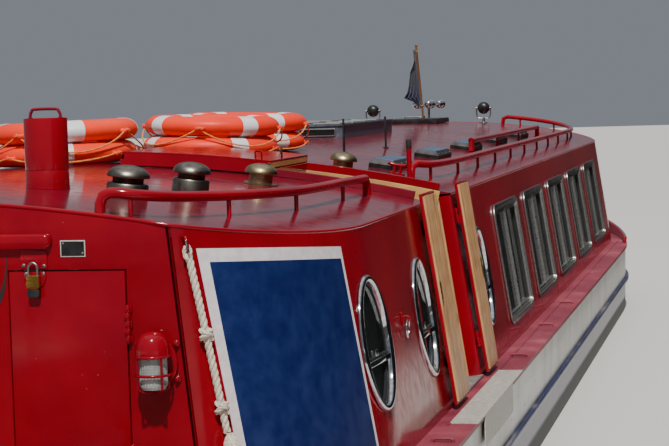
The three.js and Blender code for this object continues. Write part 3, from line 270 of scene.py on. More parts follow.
def tube_shape(path, radius, sides=12, closed=False, flat=1.0, hint=(0.31, 0.17, 0.93)):
    """A rod along a path. radius is a number or one for each point. flat squeezes its section."""
    line = [Vector(p) for p in path]
    count = len(line)
    sizes = radius if isinstance(radius, (list, tuple)) else [radius] * count
    rows, side = [], Vector(hint)
    for i, here in enumerate(line):
        before = line[i - 1] if i or closed else here
        after = line[(i + 1) % count] if i + 1 < count or closed else here
        way = (after - before).normalized()
        side = (side - way * side.dot(way)).normalized()
        over = way.cross(side)
        rows.append([here + (side * cos(a) + over * sin(a) * flat) * sizes[i] for a in turns(sides)])
    return grid_shape(rows, True, True) if closed else capped(rows)


def smooth_path(places, steps):
    """Points spaced evenly along a smooth line through a few places."""
    line = [Vector(p) for p in places]
    ends = [line[0] * 2 - line[1]] + line + [line[-1] * 2 - line[-2]]
    fine = []
    for i in range(1, len(ends) - 2):
        a, b, c, d = ends[i - 1:i + 3]
        for k in range(24):
            t = k / 24
            fine.append(0.5 * ((2 * b) + (c - a) * t + (2 * a - 5 * b + 4 * c - d) * t * t
                               + (3 * b - a - 3 * c + d) * t ** 3))
    fine.append(line[-1])
    run = [0.0]
    for a, b in zip(fine, fine[1:]):
        run.append(run[-1] + (b - a).length)
    out, j = [], 0
    for k in range(steps + 1):
        want = run[-1] * k / steps
        while j + 2 < len(run) and run[j + 1] < want:
            j += 1
        share = (want - run[j]) / max(run[j + 1] - run[j], 1e-9)
        out.append(fine[j].lerp(fine[j + 1], min(max(share, 0), 1)))
    return out


def round_rect(half_wide, half_high, radius, steps=6):
    out = []
    for sx, sy, start in ((1, -1, -90), (1, 1, 0), (-1, 1, 90), (-1, -1, 180)):
        for k in range(steps + 1):
            turn = radians(start + 90 * k / steps)
            out.append((sx * (half_wide - radius) + radius * cos(turn),
                        sy * (half_high - radius) + radius * sin(turn)))
    return out


def oval(half_wide, half_high, steps=48):
    return [(half_wide * cos(a), half_high * sin(a)) for a in turns(steps)]


def drawn(name, loops, closed=False):
    """A curve object of straight runs through each loop's points."""
    curve = bpy.data.curves.new(name, "CURVE")
    curve.dimensions = "2D" if closed else "3D"
    for loop in loops:
        spline = curve.splines.new("POLY")
        spline.points.add(len(loop) - 1)
        for point, place in zip(spline.points, loop):
            point.co = (*place, 1)
        spline.use_cyclic_u = closed
    holder = bpy.data.objects.new(name, curve)
    scene_objects.link(holder)
    return holder, curve


def evaluated(holder):
    """The mesh that an object makes with its modifiers run."""
    bpy.context.view_layer.update()
    return bpy.data.meshes.new_from_object(holder.evaluated_get(bpy.context.evaluated_depsgraph_get()))


def plate_shape(outline, low, high, at=Matrix(), holes=(), bevel=0.0):
    """A plate cut to an outline in its own flat, from height low to high, with its holes cut through."""
    holder, curve = drawn("plate", [[(x, y, 0) for x, y in loop] for loop in (outline, *holes)], True)
    curve.fill_mode = "BOTH"
    curve.extrude = (high - low) / 2 - bevel
    curve.bevel_depth, curve.bevel_resolution = bevel, 1
    curve.offset = -bevel
    mesh = evaluated(holder)
    shape = bmesh.new()
    shape.from_mesh(mesh)
    bmesh.ops.remove_doubles(shape, verts=shape.verts, dist=1e-6)
    middle = (high + low) / 2
    points = [at @ Vector((v.co.x, v.co.y, v.co.z + middle)) for v in shape.verts]
    shape.verts.index_update()
    faces = [tuple(v.index for v in f.verts) for f in shape.faces]
    shape.free()
    bpy.data.objects.remove(holder)
    bpy.data.curves.remove(curve)
    bpy.data.meshes.remove(mesh)
    return points, faces


def slab_shape(outer, inner):
    """A closed shell between two grids of points laid one behind the other."""
    high, wide = len(outer), len(outer[0])
    points = [p for row in outer for p in row] + [p for row in inner for p in row]
    back = high * wide
    faces = []
    for i in range(high - 1):
        for k in range(wide - 1):
            a = i * wide + k
            faces.append((a, a + 1, a + wide + 1, a + wide))
            faces.append((back + a, back + a + wide, back + a + wide + 1, back + a + 1))
    for i in range(high - 1):
        for k in (0, wide - 1):
            a = i * wide + k
            faces.append((a, a + wide, back + a + wide, back + a))
    for k in range(wide - 1):
        for i in (0, high - 1):
            a = i * wide + k
            faces.append((a, a + 1, back + a + 1, back + a))
    return points, faces


def frame_at(origin, across, up):
    """A flat's own axes: x across, y up, z out of it."""
    across, up = Vector(across).normalized(), Vector(up).normalized()
    out = across.cross(up).normalized()
    axes = Matrix((across, out.cross(across), out)).transposed().to_4x4()
    return Matrix.Translation(Vector(origin)) @ axes


def side_flat(y, z, hand=1):
    point, along, up, out = side_axes(y, z, hand)
    if hand < 0:
        along = -along
    return frame_at(point, along, up)


def cut(piece, cutters):
    """Cuts closed shapes out of a piece, then takes the cutters away."""
    for points, faces in cutters:
        tool = mesh_piece("cutter", points, faces, piece.data.materials[0])
        knife = piece.modifiers.new("cut", "BOOLEAN")
        knife.operation, knife.solver, knife.object = "DIFFERENCE", "EXACT", tool
        mesh = evaluated(piece)
        piece.modifiers.clear()
        piece.data = mesh
        bpy.data.objects.remove(tool)
    return piece


print("kit ready")

# %% [markdown]
# ## Finishes
# Each finish is a small tree of noise, cells and ramps on one shader, read from object coordinates,
# so nothing slides when a piece moves. Paint gets orange peel, ripples of the plating and dirt.

# %% Finish kit
def tone(red, green, blue):
    """A screen colour as the linear one that a shader wants."""
    return tuple(((c / 255 + 0.055) / 1.055) ** 2.4 if c > 10 else c / 255 / 12.92
                 for c in (red, green, blue)) + (1,)


class Finish:
    def __init__(self, name, roughness=0.4, metallic=0.0, coat=0.0, coat_roughness=0.06):
        self.material = bpy.data.materials.new(name)
        self.material.use_nodes = True
        self.tree = self.material.node_tree
        self.shader = self.tree.nodes["Principled BSDF"]
        self.set(Roughness=roughness, Metallic=metallic)
        if coat:
            self.shader.inputs["Coat Weight"].default_value = coat
            self.shader.inputs["Coat Roughness"].default_value = coat_roughness
        self.place = self.tree.nodes.new("ShaderNodeTexCoord").outputs["Object"]
        self.last_bump = None

    def set(self, **values):
        for key, value in values.items():
            self.shader.inputs[key.replace("_", " ")].default_value = value
        return self

    def join(self, source, target):
        if isinstance(source, bpy.types.NodeSocket):
            self.tree.links.new(source, target)
        else:
            target.default_value = source

    def node(self, kind, **settings):
        made = self.tree.nodes.new("ShaderNode" + kind)
        for key, value in settings.items():
            setattr(made, key, value)
        return made

    def stretched(self, x, y, z):
        made = self.node("Mapping")
        self.join(self.place, made.inputs["Vector"])
        made.inputs["Scale"].default_value = (x, y, z)
        return made.outputs["Vector"]

    def texture(self, kind, output, place, settings, **inputs):
        made = self.node("Tex" + kind, **settings)
        self.join(place or self.place, made.inputs["Vector"])
        for key, value in inputs.items():
            made.inputs[key.replace("_", " ")].default_value = value
        return made.outputs[output]

    def noise(self, scale, detail=3.0, rough=0.55, place=None, twist=0.0):
        return self.texture("Noise", "Fac", place, {}, Scale=scale, Detail=detail, Roughness=rough,
                            Distortion=twist)

    def cells(self, scale, place=None):
        return self.texture("Voronoi", "Distance", place, {"feature": "F1"}, Scale=scale, Randomness=1.0)

    def bands(self, scale, place=None, along="X", twist=0.0):
        return self.texture("Wave", "Fac", place, {"wave_type": "BANDS", "bands_direction": along},
                            Scale=scale, Distortion=twist, Detail_Scale=1.4)

    def axis(self, which, place=None):
        made = self.node("SeparateXYZ")
        self.join(place or self.place, made.inputs["Vector"])
        return made.outputs[which]

    def ramp(self, value, *stops):
        made = self.node("ValToRGB")
        self.join(value, made.inputs["Fac"])
        line = made.color_ramp
        while len(line.elements) < len(stops):
            line.elements.new(0.5)
        for spot, (at, colour) in zip(line.elements, stops):
            spot.position, spot.color = at, colour
        return made.outputs["Color"]

    def span(self, value, low, high, to_low=0.0, to_high=1.0):
        made = self.node("MapRange")
        self.join(value, made.inputs["Value"])
        for key, number in (("From Min", low), ("From Max", high), ("To Min", to_low), ("To Max", to_high)):
            made.inputs[key].default_value = number
        return made.outputs["Result"]

    def sum(self, a, b, how="ADD"):
        made = self.node("Math", operation=how)
        self.join(a, made.inputs[0])
        self.join(b, made.inputs[1])
        return made.outputs[0]

    def over(self, amount, under, upper):
        """Lays one colour over another. A Mix node's colours are its inputs 6 and 7 and its output 2."""
        made = self.node("Mix", data_type="RGBA")
        for source, target in ((amount, 0), (under, 6), (upper, 7)):
            self.join(source, made.inputs[target])
        return made.outputs[2]

    def bump(self, height, depth, strength=1.0):
        made = self.node("Bump")
        made.inputs["Strength"].default_value = strength
        made.inputs["Distance"].default_value = depth
        self.join(height, made.inputs["Height"])
        if self.last_bump:
            self.join(self.last_bump, made.inputs["Normal"])
        self.last_bump = made.outputs["Normal"]
        self.join(self.last_bump, self.shader.inputs["Normal"])
        return self

    def colour(self, value):
        self.join(value, self.shader.inputs["Base Color"])
        return self

    def rough(self, value):
        self.join(value, self.shader.inputs["Roughness"])
        return self


print("finish kit ready")

# %% [markdown]
# ## Gloss coach enamel
# The cabin is deep crimson gloss, hand-brushed on steel. The plating ripples gently between its
# frames, the paint has fine orange peel, and small pale chips and dust specks sit on it.

# %% Paints
def gloss_paint(name, base, dark, pale, ripple=0.004, specks=0.035):
    made = Finish(name, 0.14).set(Specular_IOR_Level=0.32)
    drift = made.noise(1.3, 4, 0.6)
    body = made.ramp(drift, (0.30, dark), (0.62, base))
    streaks = made.noise(5.0, 3, 0.5, made.stretched(3.0, 3.0, 0.16))
    body = made.over(made.span(streaks, 0.55, 0.80, 0, 0.22), body, dark)
    dots = made.cells(26.0)
    mask = made.noise(3.0, 2)
    near = made.sum(made.span(dots, specks, specks * 0.6), made.span(mask, 0.5, 0.62), "MULTIPLY")
    body = made.over(near, body, pale)
    made.colour(body)
    made.rough(made.span(made.noise(14.0, 4, 0.65), 0.3, 0.75, 0.07, 0.22))
    made.bump(made.noise(0.9, 1.0, 0.3), ripple, 0.6)
    made.bump(made.noise(320.0, 1.0), 0.00006, 0.5)
    return made.material


crimson = gloss_paint("crimson_enamel", tone(142, 10, 27), tone(116, 6, 21), tone(214, 120, 132))
crimson_trim = gloss_paint("crimson_trim", tone(150, 12, 30), tone(120, 8, 24), tone(226, 120, 130), 0.0008)
# The roof's red is bluer and duller than the sides' crimson: painted sky reflection on a similar red.
sky_tinted_red = gloss_paint("maroon_roof", tone(126, 26, 44), tone(96, 16, 32), tone(196, 150, 150), 0.003, 0.05)


def worn_deck():
    made = Finish("deck_paint", 0.5)
    wear = made.noise(2.2, 5, 0.62)
    body = made.ramp(wear, (0.32, tone(112, 34, 50)), (0.55, tone(142, 56, 72)), (0.75, tone(170, 98, 106)))
    grit = made.noise(60.0, 3, 0.7)
    body = made.over(made.span(grit, 0.60, 0.72, 0, 0.45), body, tone(188, 150, 148))
    grime = made.noise(5.5, 4, 0.6)
    body = made.over(made.span(grime, 0.62, 0.78, 0, 0.5), body, tone(74, 40, 44))
    made.colour(body)
    made.rough(made.span(wear, 0.3, 0.7, 0.38, 0.62))
    made.bump(grit, 0.0006, 0.7)
    return made.material


WHITE_LOW, BLACK_TOP = 0.880, 0.700


def hull_bands():
    """Grey-white band above, dark blue under it, and black blacking near the water."""
    made = Finish("hull_paint", 0.3, 0.0, coat=0.1, coat_roughness=0.2)
    height = made.sum(made.axis("Z"), made.span(made.noise(2.0, 2), 0, 1, -0.002, 0.002))
    white = made.ramp(made.noise(3.5, 5, 0.6, made.stretched(1, 1, 0.3)), (0.3, tone(150, 146, 138)),
                      (0.7, tone(196, 193, 186)))
    scuffs = made.noise(9.0, 5, 0.7, made.stretched(1, 0.35, 2.4))
    white = made.over(made.span(scuffs, 0.60, 0.72, 0, 0.6), white, tone(96, 88, 82))
    blue = made.ramp(made.noise(6.0, 3), (0.3, tone(18, 24, 58)), (0.7, tone(30, 40, 88)))
    black = made.ramp(made.noise(14.0, 5, 0.7), (0.35, tone(14, 14, 16)), (0.75, tone(48, 44, 40)))
    body = made.over(made.span(height, WHITE_LOW, WHITE_LOW + 0.002), blue, white)
    body = made.over(made.span(height, BLACK_TOP, BLACK_TOP - 0.002), body, black)
    made.colour(body)
    made.rough(made.span(height, 0.69, 0.72, 0.65, 0.28))
    made.bump(made.noise(1.1, 1.0, 0.3), 0.004, 0.5)
    made.bump(scuffs, 0.0004, 0.3)
    return made.material


def blacking():
    made = Finish("bitumen_blacking", 0.7)
    spots = made.noise(18.0, 5, 0.7)
    made.colour(made.ramp(spots, (0.35, tone(12, 12, 13)), (0.65, tone(30, 28, 27)),
                          (0.82, tone(92, 60, 42))))
    return made.bump(spots, 0.001, 0.5).material


def satin(name, base, worn, roughness=0.4, scale=24.0, grain=0.0002):
    made = Finish(name, roughness)
    spots = made.noise(scale, 4, 0.62)
    made.colour(made.ramp(spots, (0.35, base), (0.70, worn)))
    made.rough(made.span(spots, 0.3, 0.75, roughness * 0.8, min(1.0, roughness * 1.3)))
    return made.bump(spots, grain, 0.5).material


deck_paint = worn_deck()
hull_paint = hull_bands()
bottom_black = blacking()
black_paint = satin("black_paint", tone(16, 16, 18), tone(44, 42, 42), 0.35)
black_rubber = satin("black_rubber", tone(18, 18, 19), tone(36, 34, 33), 0.7)
# Painted shade: a matt dark red with no shine, for the shadowed gaps down the cabin's corners.
seam_dark = Finish("seam_dark", 1.0).set(Base_Color=tone(40, 3, 9), Specular_IOR_Level=0.0).material
threshold_grey = satin("threshold_grey", tone(96, 94, 92), tone(150, 146, 140), 0.45)
white_band = satin("reflective_band", tone(206, 208, 210), tone(236, 238, 240), 0.35, 180.0)
white_vinyl = satin("white_vinyl", tone(206, 196, 200), tone(224, 216, 218), 0.40, 30.0)
blue_vinyl = satin("blue_vinyl", tone(13, 26, 80), tone(22, 40, 96), 0.36, 12.0)
tread_alloy = satin("tread_alloy", tone(158, 152, 144), tone(196, 192, 184), 0.42, 40.0)
pale_rim = satin("pale_rim", tone(170, 168, 160), tone(200, 198, 190), 0.40, 60.0)
satin_grey = satin("satin_grey", tone(58, 62, 76), tone(92, 96, 108), 0.36, 22.0)
dusty_top = satin("dusty_top", tone(38, 62, 96), tone(84, 108, 136), 0.22, 9.0)
blind_cloth = satin("window_blind", tone(176, 180, 174), tone(206, 208, 200), 0.8, 90.0)
engine_paint = satin("engine_paint", tone(36, 62, 52), tone(60, 80, 70), 0.55)
print("paints ready")

# %% [markdown]
# ## Metals, timber, glass and soft finishes
# Metals differ by colour, by how brushed or tarnished they are, and by the dirt in them. The pine
# linings need long grain along the leaf, so their noise is stretched along the height.

# %% Metals and timber
def metal(name, base, tarnish, roughness, brushed=(1, 1, 1), scale=30.0, share=(0.42, 0.74)):
    made = Finish(name, roughness, 1.0)
    grain = made.noise(scale, 5, 0.65, made.stretched(*brushed))
    made.colour(made.ramp(grain, (share[0], base), (share[1], tarnish)))
    made.rough(made.span(grain, 0.3, 0.75, roughness * 0.75, min(1.0, roughness * 1.8)))
    return made.bump(grain, 0.0001, 0.4).material


chrome = metal("chrome_plate", tone(214, 216, 220), tone(150, 152, 154), 0.06, scale=60)
aluminium = metal("window_aluminium", tone(176, 178, 176), tone(120, 120, 116), 0.30, (1, 0.12, 1), 70)
steel = metal("bare_steel", tone(176, 176, 178), tone(104, 96, 90), 0.32)
brass = metal("padlock_brass", tone(206, 164, 84), tone(140, 104, 56), 0.26, (1, 1, 6))
vent_brass = metal("vent_brass", tone(176, 162, 124), tone(112, 98, 76), 0.30)
vent_steel = metal("vent_pewter", tone(140, 134, 124), tone(86, 82, 78), 0.30)
vent_dark = metal("vent_stem", tone(92, 70, 56), tone(44, 30, 30), 0.42)
bronze = metal("propeller_bronze", tone(150, 126, 84), tone(70, 82, 62), 0.4)


def timber(name, pale, dark, knot, along=(9.0, 9.0, 0.55), roughness=0.42):
    made = Finish(name, roughness, coat=0.25, coat_roughness=0.15)
    place = made.stretched(*along)
    grain = made.noise(3.2, 6, 0.62, place, 0.8)
    lines = made.bands(2.3, place, "X", 6.0)
    body = made.ramp(grain, (0.32, dark), (0.62, pale))
    body = made.over(made.span(lines, 0.25, 0.95, 0.0, 0.35), body, dark)
    knots = made.cells(2.4, made.stretched(2.2, 2.2, 0.9))
    body = made.over(made.span(knots, 0.10, 0.03), body, knot)
    made.colour(body)
    return made.bump(grain, 0.0003, 0.4).material


pine = timber("pine_lining", tone(206, 160, 110), tone(168, 116, 70), tone(96, 58, 30))
pine_along = timber("pine_rail", tone(212, 164, 98), tone(166, 116, 62), tone(96, 58, 30), (9.0, 0.55, 9.0))
pine_across = timber("pine_cap", tone(212, 164, 98), tone(166, 116, 62), tone(96, 58, 30), (0.55, 9.0, 9.0))
boards = timber("cabin_boards", tone(120, 78, 46), tone(78, 46, 26), tone(40, 24, 14), (7.0, 0.5, 7.0), 0.5)
staff_wood = timber("staff_wood", tone(126, 82, 46), tone(80, 48, 28), tone(44, 26, 16))


def tinted_glass():
    made = Finish("tinted_glass", 0.02)
    made.set(Transmission_Weight=0.86, IOR=1.45, Alpha=1.0)
    made.colour(made.ramp(made.noise(1.5, 2), (0.4, tone(66, 74, 74)), (0.7, tone(82, 90, 88))))
    return made.bump(made.noise(0.8, 1.0), 0.002, 0.35).material


def lamp_glass():
    made = Finish("lamp_glass", 0.22)
    made.set(Transmission_Weight=0.35, IOR=1.45)
    made.colour(made.ramp(made.noise(20.0, 3), (0.35, tone(150, 156, 152)), (0.7, tone(190, 194, 190))))
    return made.bump(made.bands(60.0, None, "Z"), 0.0008, 0.6).material


glass = tinted_glass()
frosted = lamp_glass()
print("metals, timber and glass ready")

# %% Rope, shell, vinyl and cloth
def cotton_rope(name, pale, dark):
    made = Finish(name, 0.9)
    made.set(Sheen_Weight=0.25)
    fibre = made.noise(260.0, 4, 0.7, made.stretched(1, 1, 0.4))
    dirt = made.noise(9.0, 3, 0.6)
    body = made.ramp(fibre, (0.34, dark), (0.60, pale))
    made.colour(made.over(made.span(dirt, 0.55, 0.75, 0, 0.4), body, dark))
    return made.bump(fibre, 0.0007, 0.8).material


def ring_shell():
    made = Finish("ring_shell", 0.34).set(Specular_IOR_Level=0.25)
    fade = made.noise(3.0, 4, 0.6)
    body = made.ramp(fade, (0.3, tone(238, 46, 22)), (0.7, tone(252, 70, 38)))
    scuff = made.noise(28.0, 5, 0.72)
    body = made.over(made.span(scuff, 0.64, 0.78, 0, 0.5), body, tone(158, 54, 38))
    made.colour(body)
    made.rough(made.span(scuff, 0.3, 0.7, 0.34, 0.55))
    return made.bump(made.noise(160.0, 2), 0.0003, 0.5).material


def woven(name, base, thread, scale=900.0, roughness=0.85, sheen=0.2):
    made = Finish(name, roughness)
    made.set(Sheen_Weight=sheen)
    warp = made.sum(made.bands(scale / 6, None, "Z"), made.bands(scale / 6, None, "Y"), "MULTIPLY")
    fold = made.noise(5.0, 3)
    body = made.ramp(fold, (0.35, base), (0.7, thread))
    made.colour(made.over(made.span(warp, 0.0, 1.0, 0.0, 0.35), body, thread))
    return made.bump(warp, 0.0004, 0.6).material


cotton = cotton_rope("fender_cotton", tone(226, 218, 200), tone(150, 138, 118))
ring_rope = cotton_rope("ring_rope", tone(236, 150, 64), tone(176, 90, 30))
orange_shell = ring_shell()
flag_cloth = woven("flag_cloth", tone(12, 14, 44), tone(26, 30, 74))
bench_cloth = woven("bench_cloth", tone(58, 66, 96), tone(84, 92, 120), 500.0)
print("soft finishes ready:", len(bpy.data.materials), "materials")

# %% [markdown]
# ## The stage
# A pale floor stands at the waterline, under a large soft key light from high behind the camera.
# The world is a quiet grey. Dark cards, which no camera sees, stand to starboard and lie on the floor
# astern. They give the gloss sides something deep to mirror, as a photographer's flags do.

# %% Stage
floor_finish = Finish("stage_floor", 0.7).colour(tone(206, 204, 200)).material
FLOOR_CORNERS = [(x, y, WATERLINE) for x, y in ((-60, -60), (60, -60), (60, 80), (-60, 80))]
floor = mesh_piece("stage_floor", FLOOR_CORNERS, [(0, 1, 2, 3)], floor_finish)
world = bpy.data.worlds.new("studio")
world.use_nodes = True
world.node_tree.nodes["Background"].inputs["Color"].default_value = (0.50, 0.55, 0.62, 1)
world.node_tree.nodes["Background"].inputs["Strength"].default_value = 0.40
bpy.context.scene.world = world


def area_light(name, at, towards, size, power, colour=(1, 1, 1)):
    light = bpy.data.lights.new(name, "AREA")
    light.shape, light.size, light.size_y = "RECTANGLE", size[0], size[1]
    light.energy, light.color = power, colour
    holder = bpy.data.objects.new(name, light)
    holder.location = at
    holder.rotation_euler = (Vector(towards) - Vector(at)).to_track_quat("-Z", "Y").to_euler()
    scene_objects.link(holder)


sun = bpy.data.lights.new("high_key", "SUN")
sun.energy, sun.angle, sun.color = 4.6, radians(2.5), (1.0, 0.97, 0.92)
sun_holder = bpy.data.objects.new("high_key", sun)
sun_holder.rotation_euler = Vector((-0.12, 0.58, -0.80)).to_track_quat("-Z", "Y").to_euler()
scene_objects.link(sun_holder)
area_light("soft_top", (0, 0, 14), (0, 0, 0), (14, 24), 500)
flag_finish = Finish("studio_flag", 0.9).set(Base_Color=(0.012, 0.012, 0.014, 1)).material
FAR_END, ON_FLOOR = 60, WATERLINE + 0.004


def upright_card(x, y, top):
    return [(x, y, WATERLINE), (x, FAR_END, WATERLINE), (x, FAR_END, top), (x, y, top)]


def flat_card(x, y0, y1):
    return [(-x, y0, ON_FLOOR), (x, y0, ON_FLOOR), (x, y1, ON_FLOOR), (-x, y1, ON_FLOOR)]


for name, corners in (("studio_flag", upright_card(4.1, -9, 4.2)),
                      ("studio_flag_floor", flat_card(9, -60, -8.6)),
                      ("studio_flag_near", upright_card(2.6, 0, 3.4))):
    card = mesh_piece(name, corners, [(0, 1, 2, 3)], flag_finish)
    card.visible_camera = card.visible_shadow = card.visible_diffuse = False
print("stage ready")

# %% [markdown]
# ## Finishes on the frame's own pieces
# A piece of the frame whose shape is already right keeps it and takes the finish of its slot.

# %% Dress the frame
SLOT_FINISH = {
    "cabin_red": crimson, "roof_red": sky_tinted_red, "hull_paint": hull_paint, "bottom_black": bottom_black,
    "deck_red": deck_paint, "black_paint": black_paint, "bare_steel": steel, "chrome": chrome,
    "aluminium": aluminium, "bronze": bronze, "engine_iron": engine_paint, "pine": pine,
    "floor_wood": boards, "bench_cloth": bench_cloth, "ring_shell": orange_shell, "rope_white": cotton,
    "flag_cloth": flag_cloth, "sign_vinyl": white_vinyl, "window_glass": glass,
}
for row in frame["record"]["subparts"]:
    held = nodes[row["node"]]
    held.data.materials.clear()
    held.data.materials.append(SLOT_FINISH[row["material_slot"]])
print("dressed", len(nodes), "nodes")

# %% [markdown]
# ## What repeats
# Three small node trees make what repeats: rods such as posts, studs and screw heads on a list of
# places, slats such as boards and ribs, and the strands of a laid rope along its route.

# %% Node trees
def new_tree(name, inputs):
    tree = bpy.data.node_groups.new(name, "GeometryNodeTree")
    tree.interface.new_socket("Geometry", in_out="INPUT", socket_type="NodeSocketGeometry")
    for label, kind in inputs:
        tree.interface.new_socket(label, in_out="INPUT", socket_type=kind)
    tree.interface.new_socket("Geometry", in_out="OUTPUT", socket_type="NodeSocketGeometry")
    return tree


def node(tree, kind, **values):
    made = tree.nodes.new(kind)
    for key, value in values.items():
        setattr(made, key, value)
    return made


def wire(tree, *links):
    """Joins one node's output to another's input: (from, its output, to, its input) for each link."""
    for source, output, target, entry in links:
        tree.links.new(source.outputs[output], target.inputs[entry])
    return tree


def finish_tree(tree, source, output, start, smooth):
    real, shade, paint, end = (node(tree, kind) for kind in (
        "GeometryNodeRealizeInstances", "GeometryNodeSetShadeSmooth", "GeometryNodeSetMaterial",
        "NodeGroupOutput"))
    shade.inputs["Shade Smooth"].default_value = smooth
    geometry = "Geometry"
    return wire(tree, (source, output, real, geometry), (real, geometry, shade, geometry),
                (shade, geometry, paint, geometry), (start, "Finish", paint, "Material"),
                (paint, geometry, end, geometry))


def repeat_tree(kind):
    """Stands a rod or a slat on every point, turned by the point's stored axes."""
    sizes = [("Size", "NodeSocketVector")]
    if kind == "rod":
        sizes = [("Radius", "NodeSocketFloat"), ("Height", "NodeSocketFloat")]
    tree = new_tree("repeat_" + kind, sizes + [("Finish", "NodeSocketMaterial")])
    start = node(tree, "NodeGroupInput")
    if kind == "rod":
        solid = node(tree, "GeometryNodeMeshCylinder")
        solid.inputs["Vertices"].default_value = 14
        wire(tree, (start, "Radius", solid, "Radius"), (start, "Height", solid, "Depth"))
    else:
        solid = node(tree, "GeometryNodeMeshCube")
        wire(tree, (start, "Size", solid, "Size"))
    turn = node(tree, "GeometryNodeInputNamedAttribute", data_type="FLOAT_VECTOR")
    turn.inputs["Name"].default_value = "turn"
    spin = node(tree, "FunctionNodeEulerToRotation")
    stand = node(tree, "GeometryNodeInstanceOnPoints")
    wire(tree, (start, "Geometry", stand, "Points"), (solid, "Mesh", stand, "Instance"),
         (turn, "Attribute", spin, "Euler"), (spin, "Rotation", stand, "Rotation"))
    return finish_tree(tree, stand, "Instances", start, False)


def strand_tree():
    """Lays strands round a route: each is shifted off the line by an angle that grows along it."""
    tree = new_tree("laid_rope", [
        ("Strands", "NodeSocketInt"), ("Strand radius", "NodeSocketFloat"), ("Offset", "NodeSocketFloat"),
        ("Lay", "NodeSocketFloat"), ("Finish", "NodeSocketMaterial")])
    start = node(tree, "NodeGroupInput")
    copies = node(tree, "GeometryNodeDuplicateElements", domain="SPLINE")
    along = node(tree, "GeometryNodeSplineParameter")
    laps, share, both, angle = (node(tree, "ShaderNodeMath", operation=how)
                                for how in ("DIVIDE", "DIVIDE", "ADD", "MULTIPLY"))
    angle.inputs[1].default_value = 2 * pi
    normal, tangent = node(tree, "GeometryNodeInputNormal"), node(tree, "GeometryNodeInputTangent")
    spin = node(tree, "ShaderNodeVectorRotate", rotation_type="AXIS_ANGLE")
    reach = node(tree, "ShaderNodeVectorMath", operation="SCALE")
    shift = node(tree, "GeometryNodeSetPosition")
    ring = node(tree, "GeometryNodeCurvePrimitiveCircle")
    ring.inputs["Resolution"].default_value = 7
    skin = node(tree, "GeometryNodeCurveToMesh")
    skin.inputs["Fill Caps"].default_value = True
    wire(tree, (start, "Geometry", copies, "Geometry"), (start, "Strands", copies, "Amount"),
         (along, "Length", laps, 0), (start, "Lay", laps, 1), (copies, "Duplicate Index", share, 0),
         (start, "Strands", share, 1), (laps, 0, both, 0), (share, 0, both, 1), (both, 0, angle, 0),
         (normal, "Normal", spin, "Vector"), (tangent, "Tangent", spin, "Axis"), (angle, 0, spin, "Angle"),
         (spin, "Vector", reach, 0), (start, "Offset", reach, "Scale"),
         (copies, "Geometry", shift, "Geometry"), (reach, "Vector", shift, "Offset"),
         (start, "Strand radius", ring, "Radius"),
         (shift, "Geometry", skin, "Curve"), (ring, "Curve", skin, "Profile Curve"))
    return finish_tree(tree, skin, "Mesh", start, True)


TREES = {"rod": repeat_tree("rod"), "slat": repeat_tree("slat"), "rope": strand_tree()}


def grown(holder, tree, **inputs):
    """Runs a tree on an object with its inputs set by name, and returns the mesh it makes."""
    grow = holder.modifiers.new("grow", "NODES")
    grow.node_group = TREES[tree]
    for item in TREES[tree].interface.items_tree:
        label = item.name.replace(" ", "_")
        if item.in_out == "INPUT" and label in inputs:
            grow[item.identifier] = inputs[label]
    made = evaluated(holder)
    holder.modifiers.clear()
    return made


def taken(mesh):
    points = [v.co.copy() for v in mesh.vertices]
    faces = [tuple(f.vertices) for f in mesh.polygons]
    bpy.data.meshes.remove(mesh)
    return points, faces


def repeated(tree, places, finish, **sizes):
    """Rods or slats on every place. A place is a matrix whose z runs up the rod."""
    mesh = bpy.data.meshes.new("places")
    mesh.from_pydata([tuple(place.translation) for place in places], [], [])
    stored = mesh.attributes.new("turn", "FLOAT_VECTOR", "POINT")
    stored.data.foreach_set("vector", [a for place in places for a in place.to_euler()])
    holder = bpy.data.objects.new("places", mesh)
    scene_objects.link(holder)
    made = taken(grown(holder, tree, Finish=finish, **sizes))
    bpy.data.objects.remove(holder)
    return made


def rope_shape(route, radius, lay=None, strands=3):
    """A laid rope of that radius along a route of close points."""
    holder, curve = drawn("route", [route])
    strand = radius * (0.53 if strands == 3 else 0.46)
    made = taken(grown(holder, "rope", Strands=strands, Strand_radius=strand, Offset=radius - strand,
                       Lay=lay or radius * 7, Finish=None))
    bpy.data.objects.remove(holder)
    bpy.data.curves.remove(curve)
    return made


print("node trees:", ", ".join(TREES))

# %% [markdown]
# ## The rope fender
# A white three-strand rope hangs from a staple at the top of the quarter, with two knots, and the
# woven fender body hangs under it against the side.

# %% Fender rope
FENDER_Y = {"top": -6.726, "foot": -6.690}
FENDER_EYE, FENDER_HIGH, FENDER_LOW, FENDER_R = 2.044, 1.430, 1.160, 0.038
FENDER_ROPE_R, FENDER_ROPE_LAY = 0.0135, 0.075
ROPE_HEIGHTS = [FENDER_EYE - 0.0096, 1.880, 1.760, 1.640, 1.540, FENDER_HIGH + 0.001]


def hang(z, out):
    share = min(1.0, (FENDER_EYE - z) / (FENDER_EYE - FENDER_HIGH))
    point, _, _, away = side_axes(FENDER_Y["top"] + (FENDER_Y["foot"] - FENDER_Y["top"]) * share, z)
    return point + away * out


hang_line = smooth_path([hang(z, 0.022) for z in ROPE_HEIGHTS], 140)
fender_rope = Parts().add(*rope_shape(hang_line, FENDER_ROPE_R, FENDER_ROPE_LAY), cotton)
fender_rope = fender_rope.piece("fender_rope_laid", BOAT, "rope_white", 60, ["fender_rope"])


def knot_shape(centre, size, laps=2.0, thick=0.0095):
    """A tight overhand knot as a few wrapped turns of the rope."""
    route = []
    for k in range(61):
        t = k / 60
        turn = 2 * pi * laps * t
        wave = sin(turn * 1.5) * size * 0.45
        route.append(centre + Vector((cos(turn) * size * 0.62, sin(turn) * size * 0.62,
                                      (t - 0.5) * size * 1.3 + wave * 0.5)))
    return rope_shape(route, thick)


